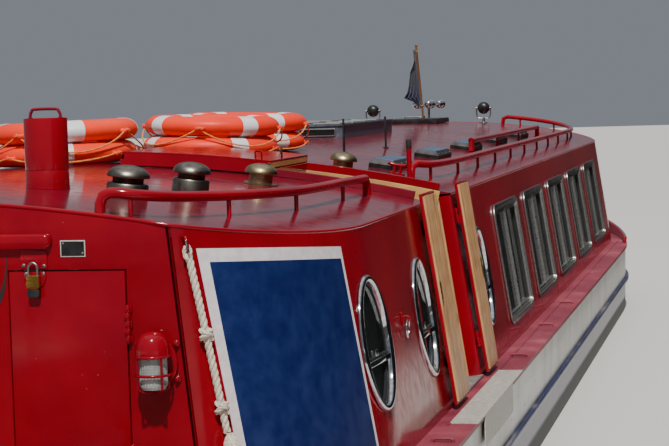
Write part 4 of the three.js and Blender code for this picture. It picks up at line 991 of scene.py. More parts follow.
knots = Parts()
for z, size in ((1.763, 0.026), (1.515, 0.028)):
    knots.add(*knot_shape(hang(z, 0.024), size), cotton)
bight = hang(FENDER_EYE, 0.024)
loop = [bight + Vector((0.010 * sin(a), -0.004, 0.021 * cos(a) - 0.004))
        for a in (2 * pi * k / 28 for k in range(27))]
knots.add(*rope_shape(loop, 0.0075), cotton)
fender_knots = knots.piece("fender_knots", BOAT, "rope_white", 60)


def woven_body():
    """The body is rope hitched over a core: rows of small slanting bights round a tapered barrel."""
    foot, head = hang(FENDER_LOW + 0.030, 0.052), hang(FENDER_HIGH, 0.046)
    foot.z = FENDER_LOW
    axis = head - foot
    up = axis.normalized()
    across = up.cross(Vector((0, 1, 0))).normalized()
    over = up.cross(across)
    rows, sides = 74, 60
    grid = []
    for i in range(rows + 1):
        t = i / rows
        core = FENDER_R * min(1.0, sin(pi * min(max(t, 0.015), 0.985)) ** 0.34)
        ring = []
        for k in range(sides):
            turn = 2 * pi * k / sides
            bight_rise = 0.0021 * abs(sin(turn * 6 + i * 0.52)) + 0.0012 * abs(sin(i * pi / 4))
            r = core - 0.0033 + bight_rise
            ring.append(foot + axis * t + (across * cos(turn) + over * sin(turn)) * r)
        grid.append(ring)
    return capped(grid)


Parts().add(*woven_body(), cotton).piece("fender_body_woven", BOAT, "rope_white", 80, ["rope_fender"])

# %% [markdown]
# ## The cabin's plating
# The sides are one sheet bent round each corner. A fine grid over the shape rules gives the skin and
# its wall, the windows are cut through it, and the shading normals come from the same rules, so the
# gloss shows a fair curve and no facets.

# %% Window and door tables
WINDOW = {"half": (0.522, 0.335), "radius": 0.060, "z": 1.575, "first": -1.668, "pitch": 1.377, "count": 5}
PORTHOLE = (0.197, 0.262)
AFT_PORTHOLES = [(-5.755, 1.608), (-4.706, 1.585)]
PORTHOLES = {1: AFT_PORTHOLES + [(-2.887, 1.585)], -1: AFT_PORTHOLES + [(-3.640, 1.585), (-2.574, 1.585)]}
DOORWAY = (-4.165, -3.490)
HATCH_PORT, HATCH_END = 0.985, 1.640
SHEET_TOP, ROOF_LEVEL = 2.0, 2.05
window_places = [WINDOW["first"] + WINDOW["pitch"] * k for k in range(WINDOW["count"])]


def side_columns(y0, y1, fine=26):
    """Where the grid's columns stand at a height, close together round the corners."""
    def at(z):
        t = (EDGE_Z - z) / (EDGE_Z - DECK_Z)
        start, along, _ = (a + (b - a) * t for a, b in zip(CORNER_TOP, CORNER_FOOT))
        turn = math.asin(start / along)
        bend = [start - along * sin(turn * (1 - k / fine)) for k in range(fine + 1)]
        aft = [CABIN_AFT + b for b in bend]
        fore = [CABIN_FORE - b for b in reversed(bend)]
        middle = [aft[-1] + (fore[0] - aft[-1]) * k / 24 for k in range(1, 24)]
        return aft + middle + fore
    base = at(1.6)
    keep = [i for i, y in enumerate(base) if y0 - 0.001 < y < y1 + 0.001]

    def clipped(z):
        row = [at(z)[i] for i in keep]
        row = [y for y in row if y0 + 0.004 < y < y1 - 0.004]
        return [y0] + row + [y1]
    return clipped


def side_shell(y0, y1, hand, low=DECK_Z, levels=10):
    columns = side_columns(y0, y1)
    counts = min(len(columns(low)), len(columns(SHEET_TOP)))
    outer, inner = [], []
    for i in range(levels + 1):
        share = i / levels
        outer_row, inner_row = [], []
        ys = columns(low + (SHEET_TOP - low) * share)
        while len(ys) > counts:
            ys.pop(1)
        for y in ys:
            edge = roof_z(roof_edge(y)) - ROOF_INSET
            z = low + (edge - low) * share
            point, _, _, out = side_axes(y, z, hand)
            outer_row.append(point)
            back = point - out * WALL
            inner_row.append(Vector((back.x, min(max(back.y, y0), y1), z)))
        outer.append(outer_row)
        inner.append(inner_row)
    return slab_shape(outer, inner)


def fair(piece, true_normal, limit=0.93):
    """Gives the skin its true normals from the shape rules. Cut edges keep their own."""
    mesh = piece.data
    normals = []
    for face in mesh.polygons:
        own = face.normal
        follows = true_normal(face.center).dot(own) > limit
        for index in face.vertices:
            normals.append(tuple(true_normal(mesh.vertices[index].co)) if follows else tuple(own))
    mesh.polygons.foreach_set("use_smooth", [True] * len(mesh.polygons))
    mesh.normals_split_custom_set(normals)
    return piece


def side_normal(place):
    hand = 1 if place.x > 0 else -1
    y = min(max(place.y, CABIN_AFT + 0.003), CABIN_FORE - 0.003)
    return side_axes(y, min(max(place.z, DECK_Z), 2.12), hand)[3]


def side_cutters(hand):
    """One shape that cuts every window and porthole of a side, a little inside each frame's rim."""
    tools, (wide, high), inset = Parts(), WINDOW["half"], 0.022
    for y in window_places:
        pane = round_rect(wide - inset, high - inset, WINDOW["radius"] - inset)
        tools.plate(crimson, pane, -0.16, 0.12, side_flat(y, WINDOW["z"], hand))
    for y, z in PORTHOLES[hand]:
        tools.plate(crimson, oval(PORTHOLE[0] - 0.017, PORTHOLE[1] - 0.017), -0.16, 0.12,
                    side_flat(y, z, hand))
    return [(tools.points, tools.faces)]


SHY = 0.003
for name, y0, y1, hand, stands_for in (
        ("side_plating_aft", CABIN_AFT + SHY, DOORWAY[0], 1, "cabin_side_starboard_aft"),
        ("side_plating_fore", DOORWAY[1], CABIN_FORE - SHY, 1, "cabin_side_starboard_fore"),
        ("side_plating_port", CABIN_AFT + SHY, CABIN_FORE - SHY, -1, "cabin_side_port")):
    skin = mesh_piece(name, *side_shell(y0, y1, hand), crimson)
    cut(skin, side_cutters(hand))
    fair(skin, side_normal)
    settle(skin, BOAT, [stands_for])
    print(name, len(skin.data.polygons), "faces")

# %% [markdown]
# ## The roof
# The roof is one cambered sheet with a rolled edge. It is cut for the side hatch and for the small
# hatch over the fore doors.

# %% Roof sheet
def roof_rows(drop):
    columns = side_columns(CABIN_AFT + SHY, CABIN_FORE - SHY)(ROOF_LEVEL)
    rows = []
    for y in columns:
        edge = roof_edge(y) - ROOF_INSET
        row = []
        for k in range(-20, 21):
            x = edge * k / 20
            away = Vector((x, 0, roof_z(x) - CAMBER_Z)).normalized()
            row.append(Vector((x, y, roof_z(x))) - away * drop)
        rows.append(row)
    return rows


roof = mesh_piece("roof_sheet", *slab_shape(roof_rows(0.0), roof_rows(ROOF_PLATE)), sky_tinted_red)
cut(roof, [box_shape((HATCH_PORT, DOORWAY[0], 1.8), (2.1, DOORWAY[1], 2.6)),
           box_shape((-0.230, 5.210, 1.8), (0.230, 5.730, 2.6))])
fair(roof, lambda place: Vector((place.x, 0, place.z - CAMBER_Z)).normalized())
settle(roof, BOAT, ["roof_aft", "roof_fore"])


def edge_line():
    ys = side_columns(CABIN_AFT, CABIN_FORE)(ROOF_LEVEL)
    starboard = [(roof_edge(y) - ROOF_INSET, y) for y in ys]
    aft_half = [p for p in reversed(starboard) if p[1] < DOORWAY[0]]
    fore_half = [p for p in starboard if p[1] > DOORWAY[1]]
    across = [starboard[0][0] * k / 14 for k in range(13, -14, -1)]
    port = [(-x, y) for x, y in starboard]
    loop = [(roof_edge(DOORWAY[0]) - ROOF_INSET, DOORWAY[0])] + aft_half
    loop += [(x, CABIN_AFT + ROOF_INSET) for x in across] + port
    loop += [(-starboard[-1][0] * k / 14, CABIN_FORE - ROOF_INSET) for k in range(13, -14, -1)]
    loop += list(reversed(fore_half)) + [(roof_edge(DOORWAY[1]) - ROOF_INSET, DOORWAY[1])]
    return [Vector((x, y, roof_z(x) - 0.005)) for x, y in loop]


rolled = Parts().tube(crimson_trim, edge_line(), 0.0075, 10)
rolled.piece("roof_edge_roll", BOAT, "cabin_red", 60)
print("roof edge", len(edge_line()), "points")

# %% [markdown]
# ## The end bulkheads
# Each end is a flat plate under the roof's arc, cut for a pair of doors. A dark strip of painted shade
# runs down each corner, for the shadowed gap where the plate meets the bent side sheet.

# %% End plates
LOCKER = (0.692, 1.112, 1.210, 1.988)
DOOR_HALF, DOOR_SILL, DOOR_TOP = 0.450, 1.240, 2.000


def end_outline(y, inset=0.0, low=DECK_Z):
    edge = roof_edge(y) - inset
    heights = [low + (roof_z(edge) - ROOF_INSET - low) * k / 16 for k in range(17)]
    right_side = [(side_x(y, z) - inset, z) for z in heights]
    arc = [(edge * k / 24, roof_z(edge * k / 24) - ROOF_INSET - inset) for k in range(23, -24, -1)]
    return right_side + arc + [(-x, z) for x, z in reversed(right_side)]


def rect(x0, x1, z0, z1):
    return [(x0, z0), (x1, z0), (x1, z1), (x0, z1)]


AFT_FACE = frame_at((0, CABIN_AFT, 0), (1, 0, 0), (0, 0, 1))
FORE_FACE = frame_at((0, CABIN_FORE, 0), (-1, 0, 0), (0, 0, 1))
doorway = rect(-DOOR_HALF, DOOR_HALF, DOOR_SILL, DOOR_TOP)
for name, face, y, holes, stands_for in (
        ("bulkhead_aft", AFT_FACE, CABIN_AFT, [doorway, rect(*LOCKER)], "cabin_end_aft"),
        ("bulkhead_fore", FORE_FACE, CABIN_FORE, [doorway], "cabin_end_fore")):
    wall = Parts().plate(crimson, end_outline(y, 0.0005), -WALL, 0.0, face, holes, 0.001)
    wall.piece(name, BOAT, "cabin_red", 30, [stands_for])
    for hand in (1, -1):
        # Painted shade: a thin dark strip on each corner stands for the shadow in the gap between plate and
        # side.
        shaded_corner = [(hand * x, z) for x, z in end_outline(y, 0.0055)[:17]]
        line = [face @ Vector((x, z, 0.001)) for x, z in shaded_corner]
        shade_strip = Parts().tube(seam_dark, line, 0.0042, 8)
        shade_strip.piece(f"corner_seam_{name[9:]}_{'sp'[hand < 0]}", BOAT, "black_paint", 60)
print("bulkheads ready")

# %% [markdown]
# ## Windows
# Five sliding windows stand in a row on each side. Each has a mill-finish aluminium frame, a black
# gasket, two panes of dark glass in different planes, and the upright bar where they meet.

# %% Sliding windows
# Rings: how far the outer and the inner outline and their corners come in, from and to height, bevel
FRAME_RINGS = (((0, 0), (0.028, 0.026), 0.0008, 0.012, 0.003),
               ((0.0225, 0.022), (0.040, 0.038), -0.040, 0.004, 0.002),
               ((0.037, 0.036), (0.047, 0.045), -0.034, -0.010, 0.002))
# Bars: from and to across, from and to height
MEETING_BARS = ((-0.026, -0.004, -0.030, 0.003), (0.002, 0.028, -0.030, -0.006))
for hand, side_name in SIDES:
    frames, panes = Parts(), Parts()
    for y in window_places:
        at, (wide, high) = side_flat(y, WINDOW["z"], hand), WINDOW["half"]
        for outer, inner, low, top, bevel in FRAME_RINGS:
            outer, inner = (round_rect(wide - a, high - a, WINDOW["radius"] - b) for a, b in (outer, inner))
            frames.plate(black_rubber if top < 0 else aluminium, outer, low, top, at, [inner], bevel)
        for x0, x1, low, top in MEETING_BARS:
            frames.plate(aluminium, rect(x0, x1, -high + 0.038, high - 0.038), low, top, at, (), 0.003)
        for z0 in (-high + 0.038, high - 0.058):
            rail = rect(-wide + 0.040, wide - 0.040, z0, z0 + 0.020)
            frames.plate(aluminium, rail, -0.034, -0.002, at, (), 0.002)
        for x0, x1, low in ((-wide + 0.044, -0.010, -0.020), (0.010, wide - 0.044, -0.029)):
            panes.plate(glass, rect(x0, x1, -high + 0.044, high - 0.044), low, low + 0.005, at)
    frames.piece(f"window_frames_{side_name}", BOAT, "aluminium", 40)
    middle = (window_places[0] + window_places[-1]) / 2
    board = side_flat(middle, WINDOW["z"], hand)
    long = (window_places[-1] - window_places[0]) / 2 + WINDOW["half"][0]
    sill = 0.022 - WINDOW["half"][1]
    panes.plate(pine_along, rect(-long, long, sill - 0.014, sill + 0.010), -0.152, -0.064, board, (), 0.004)
    panes.piece(f"window_panes_{side_name}", BOAT, "window_glass", 40, [f"glazing_{side_name}"])
print("windows:", 2 * len(window_places))

# %% [markdown]
# ## Portholes
# The oval portholes have a chromed ring with a rounded face, a cross bar a little below the middle,
# a hopper pane above it and a pale roller blind drawn over the lower part.

# %% Portholes
def oval_ring(half_wide, half_high, section, at, steps=56):
    """Sweeps a small section (offset outwards, height) round an oval."""
    rows = []
    for k in range(steps):
        turn = 2 * pi * k / steps
        out = Vector((cos(turn) / half_wide, sin(turn) / half_high, 0)).normalized()
        rim = Vector((half_wide * cos(turn), half_high * sin(turn), 0))
        rows.append([at @ (rim + out * across + Vector((0, 0, lift))) for across, lift in section])
    return grid_shape(rows, True, True)


RIM = [(0.000, 0.0008), (-0.001, 0.006), (-0.005, 0.011), (-0.012, 0.0145), (-0.020, 0.014),
       (-0.026, 0.009), (-0.030, 0.002), (-0.031, -0.030), (-0.016, -0.032), (-0.0165, 0.0008)]
GASKET = [(-0.028, -0.008), (-0.037, -0.010), (-0.038, -0.020), (-0.028, -0.022)]
for hand, side_name in SIDES:
    rims, lights = Parts(), Parts()
    for y, z in PORTHOLES[hand]:
        at = side_flat(y, z, hand)
        wide, high = PORTHOLE
        rims.add(*oval_ring(wide, high, RIM, at), chrome)
        rims.add(*oval_ring(wide, high, GASKET, at), black_rubber)
        for reach, z0, z1, low, top, bevel, finish in (
                (wide - 0.034, -0.079, -0.057, -0.024, 0.004, 0.004, chrome),
                (wide - 0.034, -0.057, -0.046, -0.022, -0.004, 0.002, black_rubber),
                (0.016, -0.048, -0.022, -0.020, -0.002, 0.003, chrome)):
            rims.plate(finish, rect(-reach, reach, z0, z1), low, top, at, (), bevel)
        lights.plate(glass, oval(wide - 0.033, high - 0.033), -0.019, -0.013, at)
        blind = [p for p in oval(wide - 0.036, high - 0.036) if p[1] < -0.052]
        lights.plate(blind_cloth, blind, -0.050, -0.047, at)
    rims.piece(f"porthole_rims_{side_name}", BOAT, "chrome", 50)
    lights.piece(f"porthole_lights_{side_name}", BOAT, "window_glass", 40)
print("portholes:", sum(len(p) for p in PORTHOLES.values()))

# %% [markdown]
# ## The side doors
# The two steel leaves stand open, laid back on the cabin side. Each is a red steel tray lined with
# pine boards on its inner face, which shows because the leaf is folded back.

# %% Side doors
DOOR_PLANE = side_flat(0.0, DECK_Z)
PIN_OUT, STEEL, LINING, LEAF_WIDE = 0.012, 0.014, 0.008, 0.329
DOOR_LOW, DOOR_HIGH = 0.018, 0.955
HINGES, KNUCKLE, KNUCKLE_STEP = (0.150, 0.760), 0.036, 0.0363
BARREL = [(0.0075, 0.0), (0.0082, 0.002), (0.0082, 0.034), (0.0075, KNUCKLE)]


def plank_rows(x0, x1, z0, z1, low, high, at, finish, parts, wide=0.062):
    count = max(1, round((x1 - x0) / wide))
    step = (x1 - x0) / count
    for k in range(count):
        parts.plate(finish, rect(x0 + k * step + 0.0006, x0 + (k + 1) * step - 0.0006, z0, z1), low, high,
                    at, (), 0.0015)


for name, edge, away, body in (("side_door_aft", DOORWAY[0], -1, "aft_leaf"),
                               ("side_door_fore", DOORWAY[1], 1, "fore_leaf")):
    near, far = sorted((edge + away * 0.005, edge + away * (0.005 + LEAF_WIDE)))
    leaf = Parts()
    base = 2 * PIN_OUT
    face = base + STEEL + LINING
    rim = rect(near, far, DOOR_LOW, DOOR_HIGH)
    leaf.plate(crimson_trim, rim, base, base + 0.004, DOOR_PLANE, (), 0.001)
    inside = rect(near + 0.014, far - 0.014, DOOR_LOW + 0.014, DOOR_HIGH - 0.014)
    leaf.plate(crimson_trim, rim, base + 0.003, base + STEEL, DOOR_PLANE, [inside], 0.002)
    plank_rows(near + 0.013, far - 0.013, DOOR_LOW + 0.013, DOOR_HIGH - 0.013, base + 0.004, face,
               DOOR_PLANE, pine, leaf)
    for high in HINGES:
        centre = DOOR_PLANE @ Matrix.Translation((edge, high, PIN_OUT)) @ Matrix.Rotation(-pi / 2, 4, "X")
        leaf.turned(crimson_trim, BARREL, centre, 16)
        ends = sorted((edge + away * 0.003, edge + away * 0.040))
        leaf.plate(crimson_trim, rect(*ends, high, high + KNUCKLE), base - 0.010, base + 0.003, DOOR_PLANE,
                   (), 0.001)
    latch_x = edge + away * (LEAF_WIDE - 0.030)
    leaf.plate(brass, rect(latch_x - 0.018, latch_x + 0.018, 0.46, 0.56), face - 0.001, face + 0.002,
               DOOR_PLANE, (), 0.001)
    leaf.piece(name + "_leaf", body, "cabin_red", 40, [name])
print("side doors hung")

# %% [markdown]
# ## The doorway's lining and hinges
# The cut edges of the cabin side are capped in red steel, with a strip of pine behind them, and the
# fixed halves of the hinges stand on the side.

# %% Doorway trim
trim = Parts()
for edge, away in ((DOORWAY[0], -1), (DOORWAY[1], 1)):
    side = sorted((edge - away * 0.0012, edge + away * 0.012))
    back = sorted((edge + away * 0.002, edge + away * 0.022))
    trim.plate(crimson_trim, rect(*side, 0.013, 0.900), -0.062, -0.0035, DOOR_PLANE, (), 0.001)
    trim.plate(pine, rect(*back, 0.012, 0.900), -0.098, -0.0625, DOOR_PLANE, (), 0.002)
    for high in HINGES:
        foot = DOOR_PLANE @ Matrix.Translation((edge, high + KNUCKLE_STEP, PIN_OUT))
        centre = foot @ Matrix.Rotation(-pi / 2, 4, "X")
        trim.turned(crimson_trim, BARREL, centre, 16)
        ends = sorted((edge, edge + away * 0.030))
        trim.plate(crimson_trim, rect(*ends, high + KNUCKLE_STEP, high + KNUCKLE_STEP + KNUCKLE), -0.001,
                   PIN_OUT - 0.004, DOOR_PLANE, (), 0.001)
trim.plate(threshold_grey, rect(DOORWAY[0] + 0.001, DOORWAY[1] - 0.001, 0.0008, 0.012), -0.098, 0.010,
           DOOR_PLANE, (), 0.002)
trim.piece("doorway_trim", BOAT, "cabin_red", 40)

# %% [markdown]
# ## The sliding hatch
# Two coamings stand across the roof, red outside and pine inside. The cover rides on them and is
# pushed across to port. All of it follows the arc of the roof.

# %% Hatch
def arc_bar(x0, x1, y0, y1, low, high, steps=20):
    """A bar that follows the roof's arc across the boat, between two heights over the sheet."""
    rows = []
    for k in range(steps + 1):
        x = x0 + (x1 - x0) * k / steps
        away = Vector((x, 0, roof_z(x) - CAMBER_Z)).normalized()
        here = Vector((x, 0, roof_z(x)))
        rows.append([here + away * lift + Vector((0, y, 0))
                     for y, lift in ((y0, low), (y1, low), (y1, high), (y0, high))])
    return capped(rows)


COAMING_PORT = 0.255
coaming = Parts()
for edge, away in ((DOORWAY[0], -1), (DOORWAY[1], 1)):
    steel_y = sorted((edge + away * 0.0006, edge + away * 0.028))
    pine_y = sorted((edge - away * 0.010, edge - away * 0.0006))
    # The aft coaming takes the darker roof red, not the trim crimson: painted shade on its aft face.
    coaming.add(*arc_bar(COAMING_PORT, HATCH_END, *steel_y, 0.0008, 0.035),
                sky_tinted_red if away < 0 else crimson_trim)
    coaming.add(*arc_bar(HATCH_PORT + 0.001, HATCH_END + 0.010, *pine_y, -0.085, -0.002), pine_across)
coaming.add(*arc_bar(HATCH_PORT - 0.028, HATCH_PORT, DOORWAY[0] - 0.005, DOORWAY[1] + 0.005, 0.0008, 0.033,
                     2), crimson_trim)
coaming.add(*arc_bar(HATCH_PORT - 0.012, HATCH_PORT, DOORWAY[0] + 0.001, DOORWAY[1] - 0.001, -0.085,
                     -0.0006, 2), pine_along)
coaming.piece("hatch_coaming_bars", BOAT, "roof_red", 40, ["hatch_coamings"], 0.002)
COVER_X0, COVER_X1 = 0.270, 0.975


def over_roof(x, y, lift=0.0):
    return Vector((x, y, roof_z(x) + lift))


COVER_Y0, COVER_Y1 = DOORWAY[0] - 0.044, DOORWAY[1] + 0.044
cover = Parts()
cover.add(*arc_bar(COVER_X0, COVER_X1, COVER_Y0, COVER_Y1, 0.060, 0.072), crimson)
for x0, finish in ((COVER_X0, crimson_trim), (COVER_X1 - 0.012, pine_along)):
    cover.add(*arc_bar(x0, x0 + 0.012, COVER_Y0, COVER_Y1, 0.037, 0.062, 2), finish)
for y0 in (COVER_Y0, COVER_Y1 - 0.010):
    cover.add(*arc_bar(COVER_X0, COVER_X1, y0, y0 + 0.010, 0.006, 0.062), crimson_trim)
cover.add(*arc_bar(COVER_X0 + 0.012, COVER_X1 - 0.012, COVER_Y0 + 0.012, COVER_Y1 - 0.012, 0.054, 0.0605),
          pine_across)
handle = [(0.911, 0.070), (0.911, 0.104), (0.916, 0.110), (0.936, 0.110), (0.941, 0.104), (0.941, 0.070)]
cover.tube(crimson_trim, [over_roof(x, COVER_Y0 + 0.009, lift) for x, lift in handle], 0.004, 10,
           hint=(0, 1, 0))
cover.turned(black_paint, [(0.005, 0.070), (0.005, 0.122), (0.003, 0.125)],
             Matrix.Translation(over_roof(0.962, -3.900, 0)), 12)
cover.piece("hatch_cover_sheet", "cover", "cabin_red", 40, ["hatch_cover"], 0.003)
print("hatch ready")

# %% [markdown]
# ## The sign
# A blank sheet with a white border is fixed round the curved quarter. It follows the side's surface.

# %% Side sign
SIGN = {"foot": ((-6.656, 1.212), (-5.933, 1.200)), "top": ((-6.704, 2.050), (-5.982, 1.993))}


def sign_place(across, up, out):
    foot, top = (Vector(SIGN[k][0]).lerp(Vector(SIGN[k][1]), across) for k in ("foot", "top"))
    y, z = foot.lerp(top, up)
    return on_side(y, z, out)


def sign_sheet(span, rise, low, high):
    """A bent sheet over a share of the sign, with steps that crowd at the curved end."""
    us = [span[0] + (span[1] - span[0]) * (k / 40) ** 1.5 for k in range(41)]
    vs = [rise[0] + (rise[1] - rise[0]) * k / 10 for k in range(11)]
    return slab_shape([[sign_place(u, v, high) for v in vs] for u in us],
                      [[sign_place(u, v, low) for v in vs] for u in us])


sign = Parts().add(*sign_sheet((0, 1), (0, 1), 0.0019, 0.0036), white_vinyl)
sign.add(*sign_sheet((0.036, 0.972), (0.055, 0.945), 0.0034, 0.0040), blue_vinyl)
sign.piece("sign_sheet", BOAT, "sign_vinyl", 40, ["side_sign"])

# %% [markdown]
# ## The end doors
# A pair of leaves closes each end. Each leaf is a red plate with two framed panels outside, a pine
# lining inside, butt hinges on its outer edge and a brass lever.

# %% End doors
LEAF_THICK, PIN_OFF = 0.040, 0.012


def knuckle(parts, face, x, z, high, strap_to, finish):
    """One knuckle on an upright pin, with the strap that carries it."""
    centre = face @ Matrix.Translation((x, z, PIN_OFF)) @ Matrix.Rotation(-pi / 2, 4, "X")
    barrel = [(0.0072, 0.0004), (0.0080, 0.0016), (0.0080, high - 0.0016), (0.0072, high - 0.0004)]
    parts.turned(finish, barrel, centre, 16)
    parts.plate(finish, rect(*sorted((x, strap_to)), z + 0.0004, z + high - 0.0004), 0.0006,
                PIN_OFF - 0.005, face, (), 0.001)


def frame_ring(parts, face, x0, x1, z0, z1, wide, low, high, finish):
    inside = rect(x0 + wide, x1 - wide, z0 + wide, z1 - wide)
    parts.plate(finish, rect(x0, x1, z0, z1), low, high, face, [inside], 0.0015)


def end_leaf(name, face, toward, body):
    near, far = sorted((toward * 0.003, toward * (DOOR_HALF - 0.005)))
    low, top = DOOR_SILL + 0.005, DOOR_TOP - 0.005
    leaf = Parts().plate(crimson, rect(near, far, low, top), -0.030, 0.0, face, (), 0.002)
    plank_rows(near + 0.004, far - 0.004, low + 0.004, top - 0.004, -LEAF_THICK, -0.0302, face, pine, leaf)
    for z0, z1 in ((low + 0.050, low + 0.330), (low + 0.380, top - 0.050)):
        frame_ring(leaf, face, near + 0.045, far - 0.045, z0, z1, 0.016, -0.0005, 0.0035, crimson_trim)
    for z in END_HINGES:
        knuckle(leaf, face, toward * (DOOR_HALF + 0.003), z, KNUCKLE, toward * (DOOR_HALF - 0.040),
                crimson_trim)
    lever_x, lever_z = toward * 0.034, 1.600
    leaf.plate(brass, rect(lever_x - 0.016, lever_x + 0.016, lever_z - 0.060, lever_z + 0.060), 0.0, 0.003,
               face, (), 0.001)
    lever = [(lever_x, lever_z, 0.001), (lever_x, lever_z, 0.026),
             (lever_x + toward * 0.016, lever_z, 0.034), (lever_x + toward * 0.090, lever_z - 0.004, 0.034)]
    leaf.tube(brass, [face @ Vector(p) for p in smooth_path([Vector(p) for p in lever], 20)], 0.0065, 12)
    leaf.piece(f"{name}_leaf", body, "cabin_red", 40, [name])


END_HINGES = (1.330, 1.850)
for end, face, sign_of in (("aft", AFT_FACE, 1), ("fore", FORE_FACE, -1)):
    for hand, side_name in SIDES:
        end_leaf(f"{end}_door_{side_name}", face, hand * sign_of,
                 f"{end}_door_{'right' if hand > 0 else 'left'}")
jambs = Parts()
for face in (AFT_FACE, FORE_FACE):
    for toward in (1, -1):
        for z in END_HINGES:
            knuckle(jambs, face, toward * (DOOR_HALF + 0.003), z + KNUCKLE_STEP, KNUCKLE,
                    toward * (DOOR_HALF + 0.045), crimson_trim)
jambs.piece("end_door_jambs", BOAT, "cabin_red", 40)
print("end doors hung")

# %% [markdown]
# ## The locker in the aft bulkhead
# Its door is a flat steel plate in a narrow gap, on two butt hinges. A painted hasp at its top is
# held by a brass padlock.

# %% Locker door
locker_left, locker_right, locker_low, locker_top = LOCKER
HINGE_FEET, LEAF_KNUCKLE = (1.269, 1.739), 0.026
pin_x = locker_right + 0.004
leaf = Parts()
outline = rect(locker_left + 0.005, locker_right - 0.005, locker_low + 0.005, locker_top - 0.005)
leaf.plate(crimson, outline, -LEAF_THICK, 0.002, AFT_FACE, (), 0.0015)
fixed = Parts()
for foot in HINGE_FEET:
    for k in range(5):
        owner, reach = (fixed, locker_right + 0.016) if k % 2 == 0 else (leaf, locker_right - 0.012)
        knuckle(owner, AFT_FACE, pin_x, foot + LEAF_KNUCKLE * k, LEAF_KNUCKLE, reach, crimson_trim)
hasp = [(0.752, 1.9835), (0.830, 1.9835), (0.830, 1.958), (0.818, 1.934), (0.766, 1.934), (0.752, 1.958)]
leaf.plate(crimson_trim, hasp, 0.001, 0.006, AFT_FACE, (), 0.001)
for x, z in ((0.760, 1.975), (0.822, 1.975)):
    leaf.turned(steel, [(0.0062, 0.0), (0.0058, 0.0022), (0.0030, 0.0036)],
                AFT_FACE @ Matrix.Translation((x, z, 0.0055)), 14)
leaf.piece("locker_door_leaf", "locker_leaf", "cabin_red", 40, ["locker_door"])
fixed.piece("locker_hinge_jambs", BOAT, "cabin_red", 40)

# %% Hasp, padlock, plate and drip lip
fittings = Parts()
plate = [(0.742, 2.060), (0.836, 2.052), (0.836, 1.992), (0.742, 1.992)]
fittings.plate(crimson_trim, plate[::-1], 0.0006, 0.006, AFT_FACE, (), 0.0015)
for x, z in ((0.753, 2.004), (0.825, 2.002)):
    fittings.turned(steel, [(0.0066, 0.0), (0.0062, 0.0024), (0.0030, 0.0040)],
                    AFT_FACE @ Matrix.Translation((x, z, 0.0055)), 14)
shackle = [(0.774, 1.972), (0.774, 1.996), (0.778, 2.008), (0.790, 2.014), (0.802, 2.008), (0.806, 1.996),
           (0.806, 1.972)]
line = smooth_path([AFT_FACE @ Vector((x, z, 0.019)) for x, z in shackle], 40)
fittings.tube(steel, line, 0.0042, 12)
fittings.plate(brass, [(x + 0.790, z + 1.950) for x, z in round_rect(0.0225, 0.0230, 0.006)], 0.009, 0.029,
               AFT_FACE, (), 0.003)
fittings.plate(black_rubber, [(x + 0.790, z + 1.912) for x, z in round_rect(0.0215, 0.0165, 0.010)], 0.010,
               0.027, AFT_FACE, (), 0.003)
fittings.piece("locker_padlock", BOAT, "bronze", 40, (), 0.0)
blank = Parts()
blank.plate(pale_rim, rect(0.884, 0.972, 2.031, 2.087), 0.0006, 0.0030, AFT_FACE, (), 0.0008)
blank.plate(black_paint, rect(0.8875, 0.9685, 2.0345, 2.0835), 0.0028, 0.0036, AFT_FACE)
for x, z in ((0.894, 2.076), (0.962, 2.043)):
    blank.turned(steel, [(0.0042, 0.0), (0.0040, 0.0012), (0.0018, 0.0022)],
                 AFT_FACE @ Matrix.Translation((x, z, 0.0034)), 12)
blank.piece("bulkhead_plate", BOAT, "bare_steel", 40)
DRIP_HALF, DRIP_LOW, DRIP_TOP, DRIP_OUT = 0.856, 2.061, 2.112, 0.026
lip = Parts()
profile = [(0.0006, DRIP_TOP), (0.020, DRIP_TOP - 0.002), (DRIP_OUT, DRIP_TOP - 0.008),
           (DRIP_OUT, DRIP_LOW + 0.006), (0.022, DRIP_LOW), (0.0006, DRIP_LOW)]


def lip_row(x, shrink):
    """One section of the lip; it draws in at the rounded ends."""
    middle = (DRIP_LOW + DRIP_TOP) / 2
    return [AFT_FACE @ Vector((x, middle + (z - middle) * shrink, max(0.0006, out * shrink)))
            for out, z in profile]


ends = [(0.0, 0.30), (0.004, 0.66), (0.010, 0.86), (0.018, 0.97), (0.026, 1.0)]
rows = [lip_row(-DRIP_HALF + d, s) for d, s in ends]
rows += [lip_row(DRIP_HALF - d, s) for d, s in reversed(ends)]
lip.add(*capped(rows), crimson_trim)
lip.piece("drip_lip", BOAT, "cabin_red", 50)
# Painted shade: a thin dark sheet, widening as it curves down to port, lies on the aft plate where a curved
# shadow falls.
painted_shadow_curve = [(0.690, 2.035, 0.0015), (0.689, 2.000, 0.002), (0.683, 1.960, 0.0035), (0.672, 1.920, 0.006),
           (0.655, 1.885, 0.008), (0.632, 1.860, 0.010), (0.600, 1.840, 0.012)]
shade_strip = Parts()
outline = [(x - wide, z) for x, z, wide in painted_shadow_curve]
outline += [(x + wide, z - wide) for x, z, wide in reversed(painted_shadow_curve)]
shade_strip.plate(black_rubber, outline, 0.0006, 0.0016, AFT_FACE)
shade_strip.piece("bulkhead_strip", BOAT, "black_paint", 40)
print("locker, padlock, plate and lip ready")

# %% [markdown]
# ## The caged lamp
# A pressed red hood covers a ribbed glass behind two guard rings and upright bars, on a round base
# with four lugs.

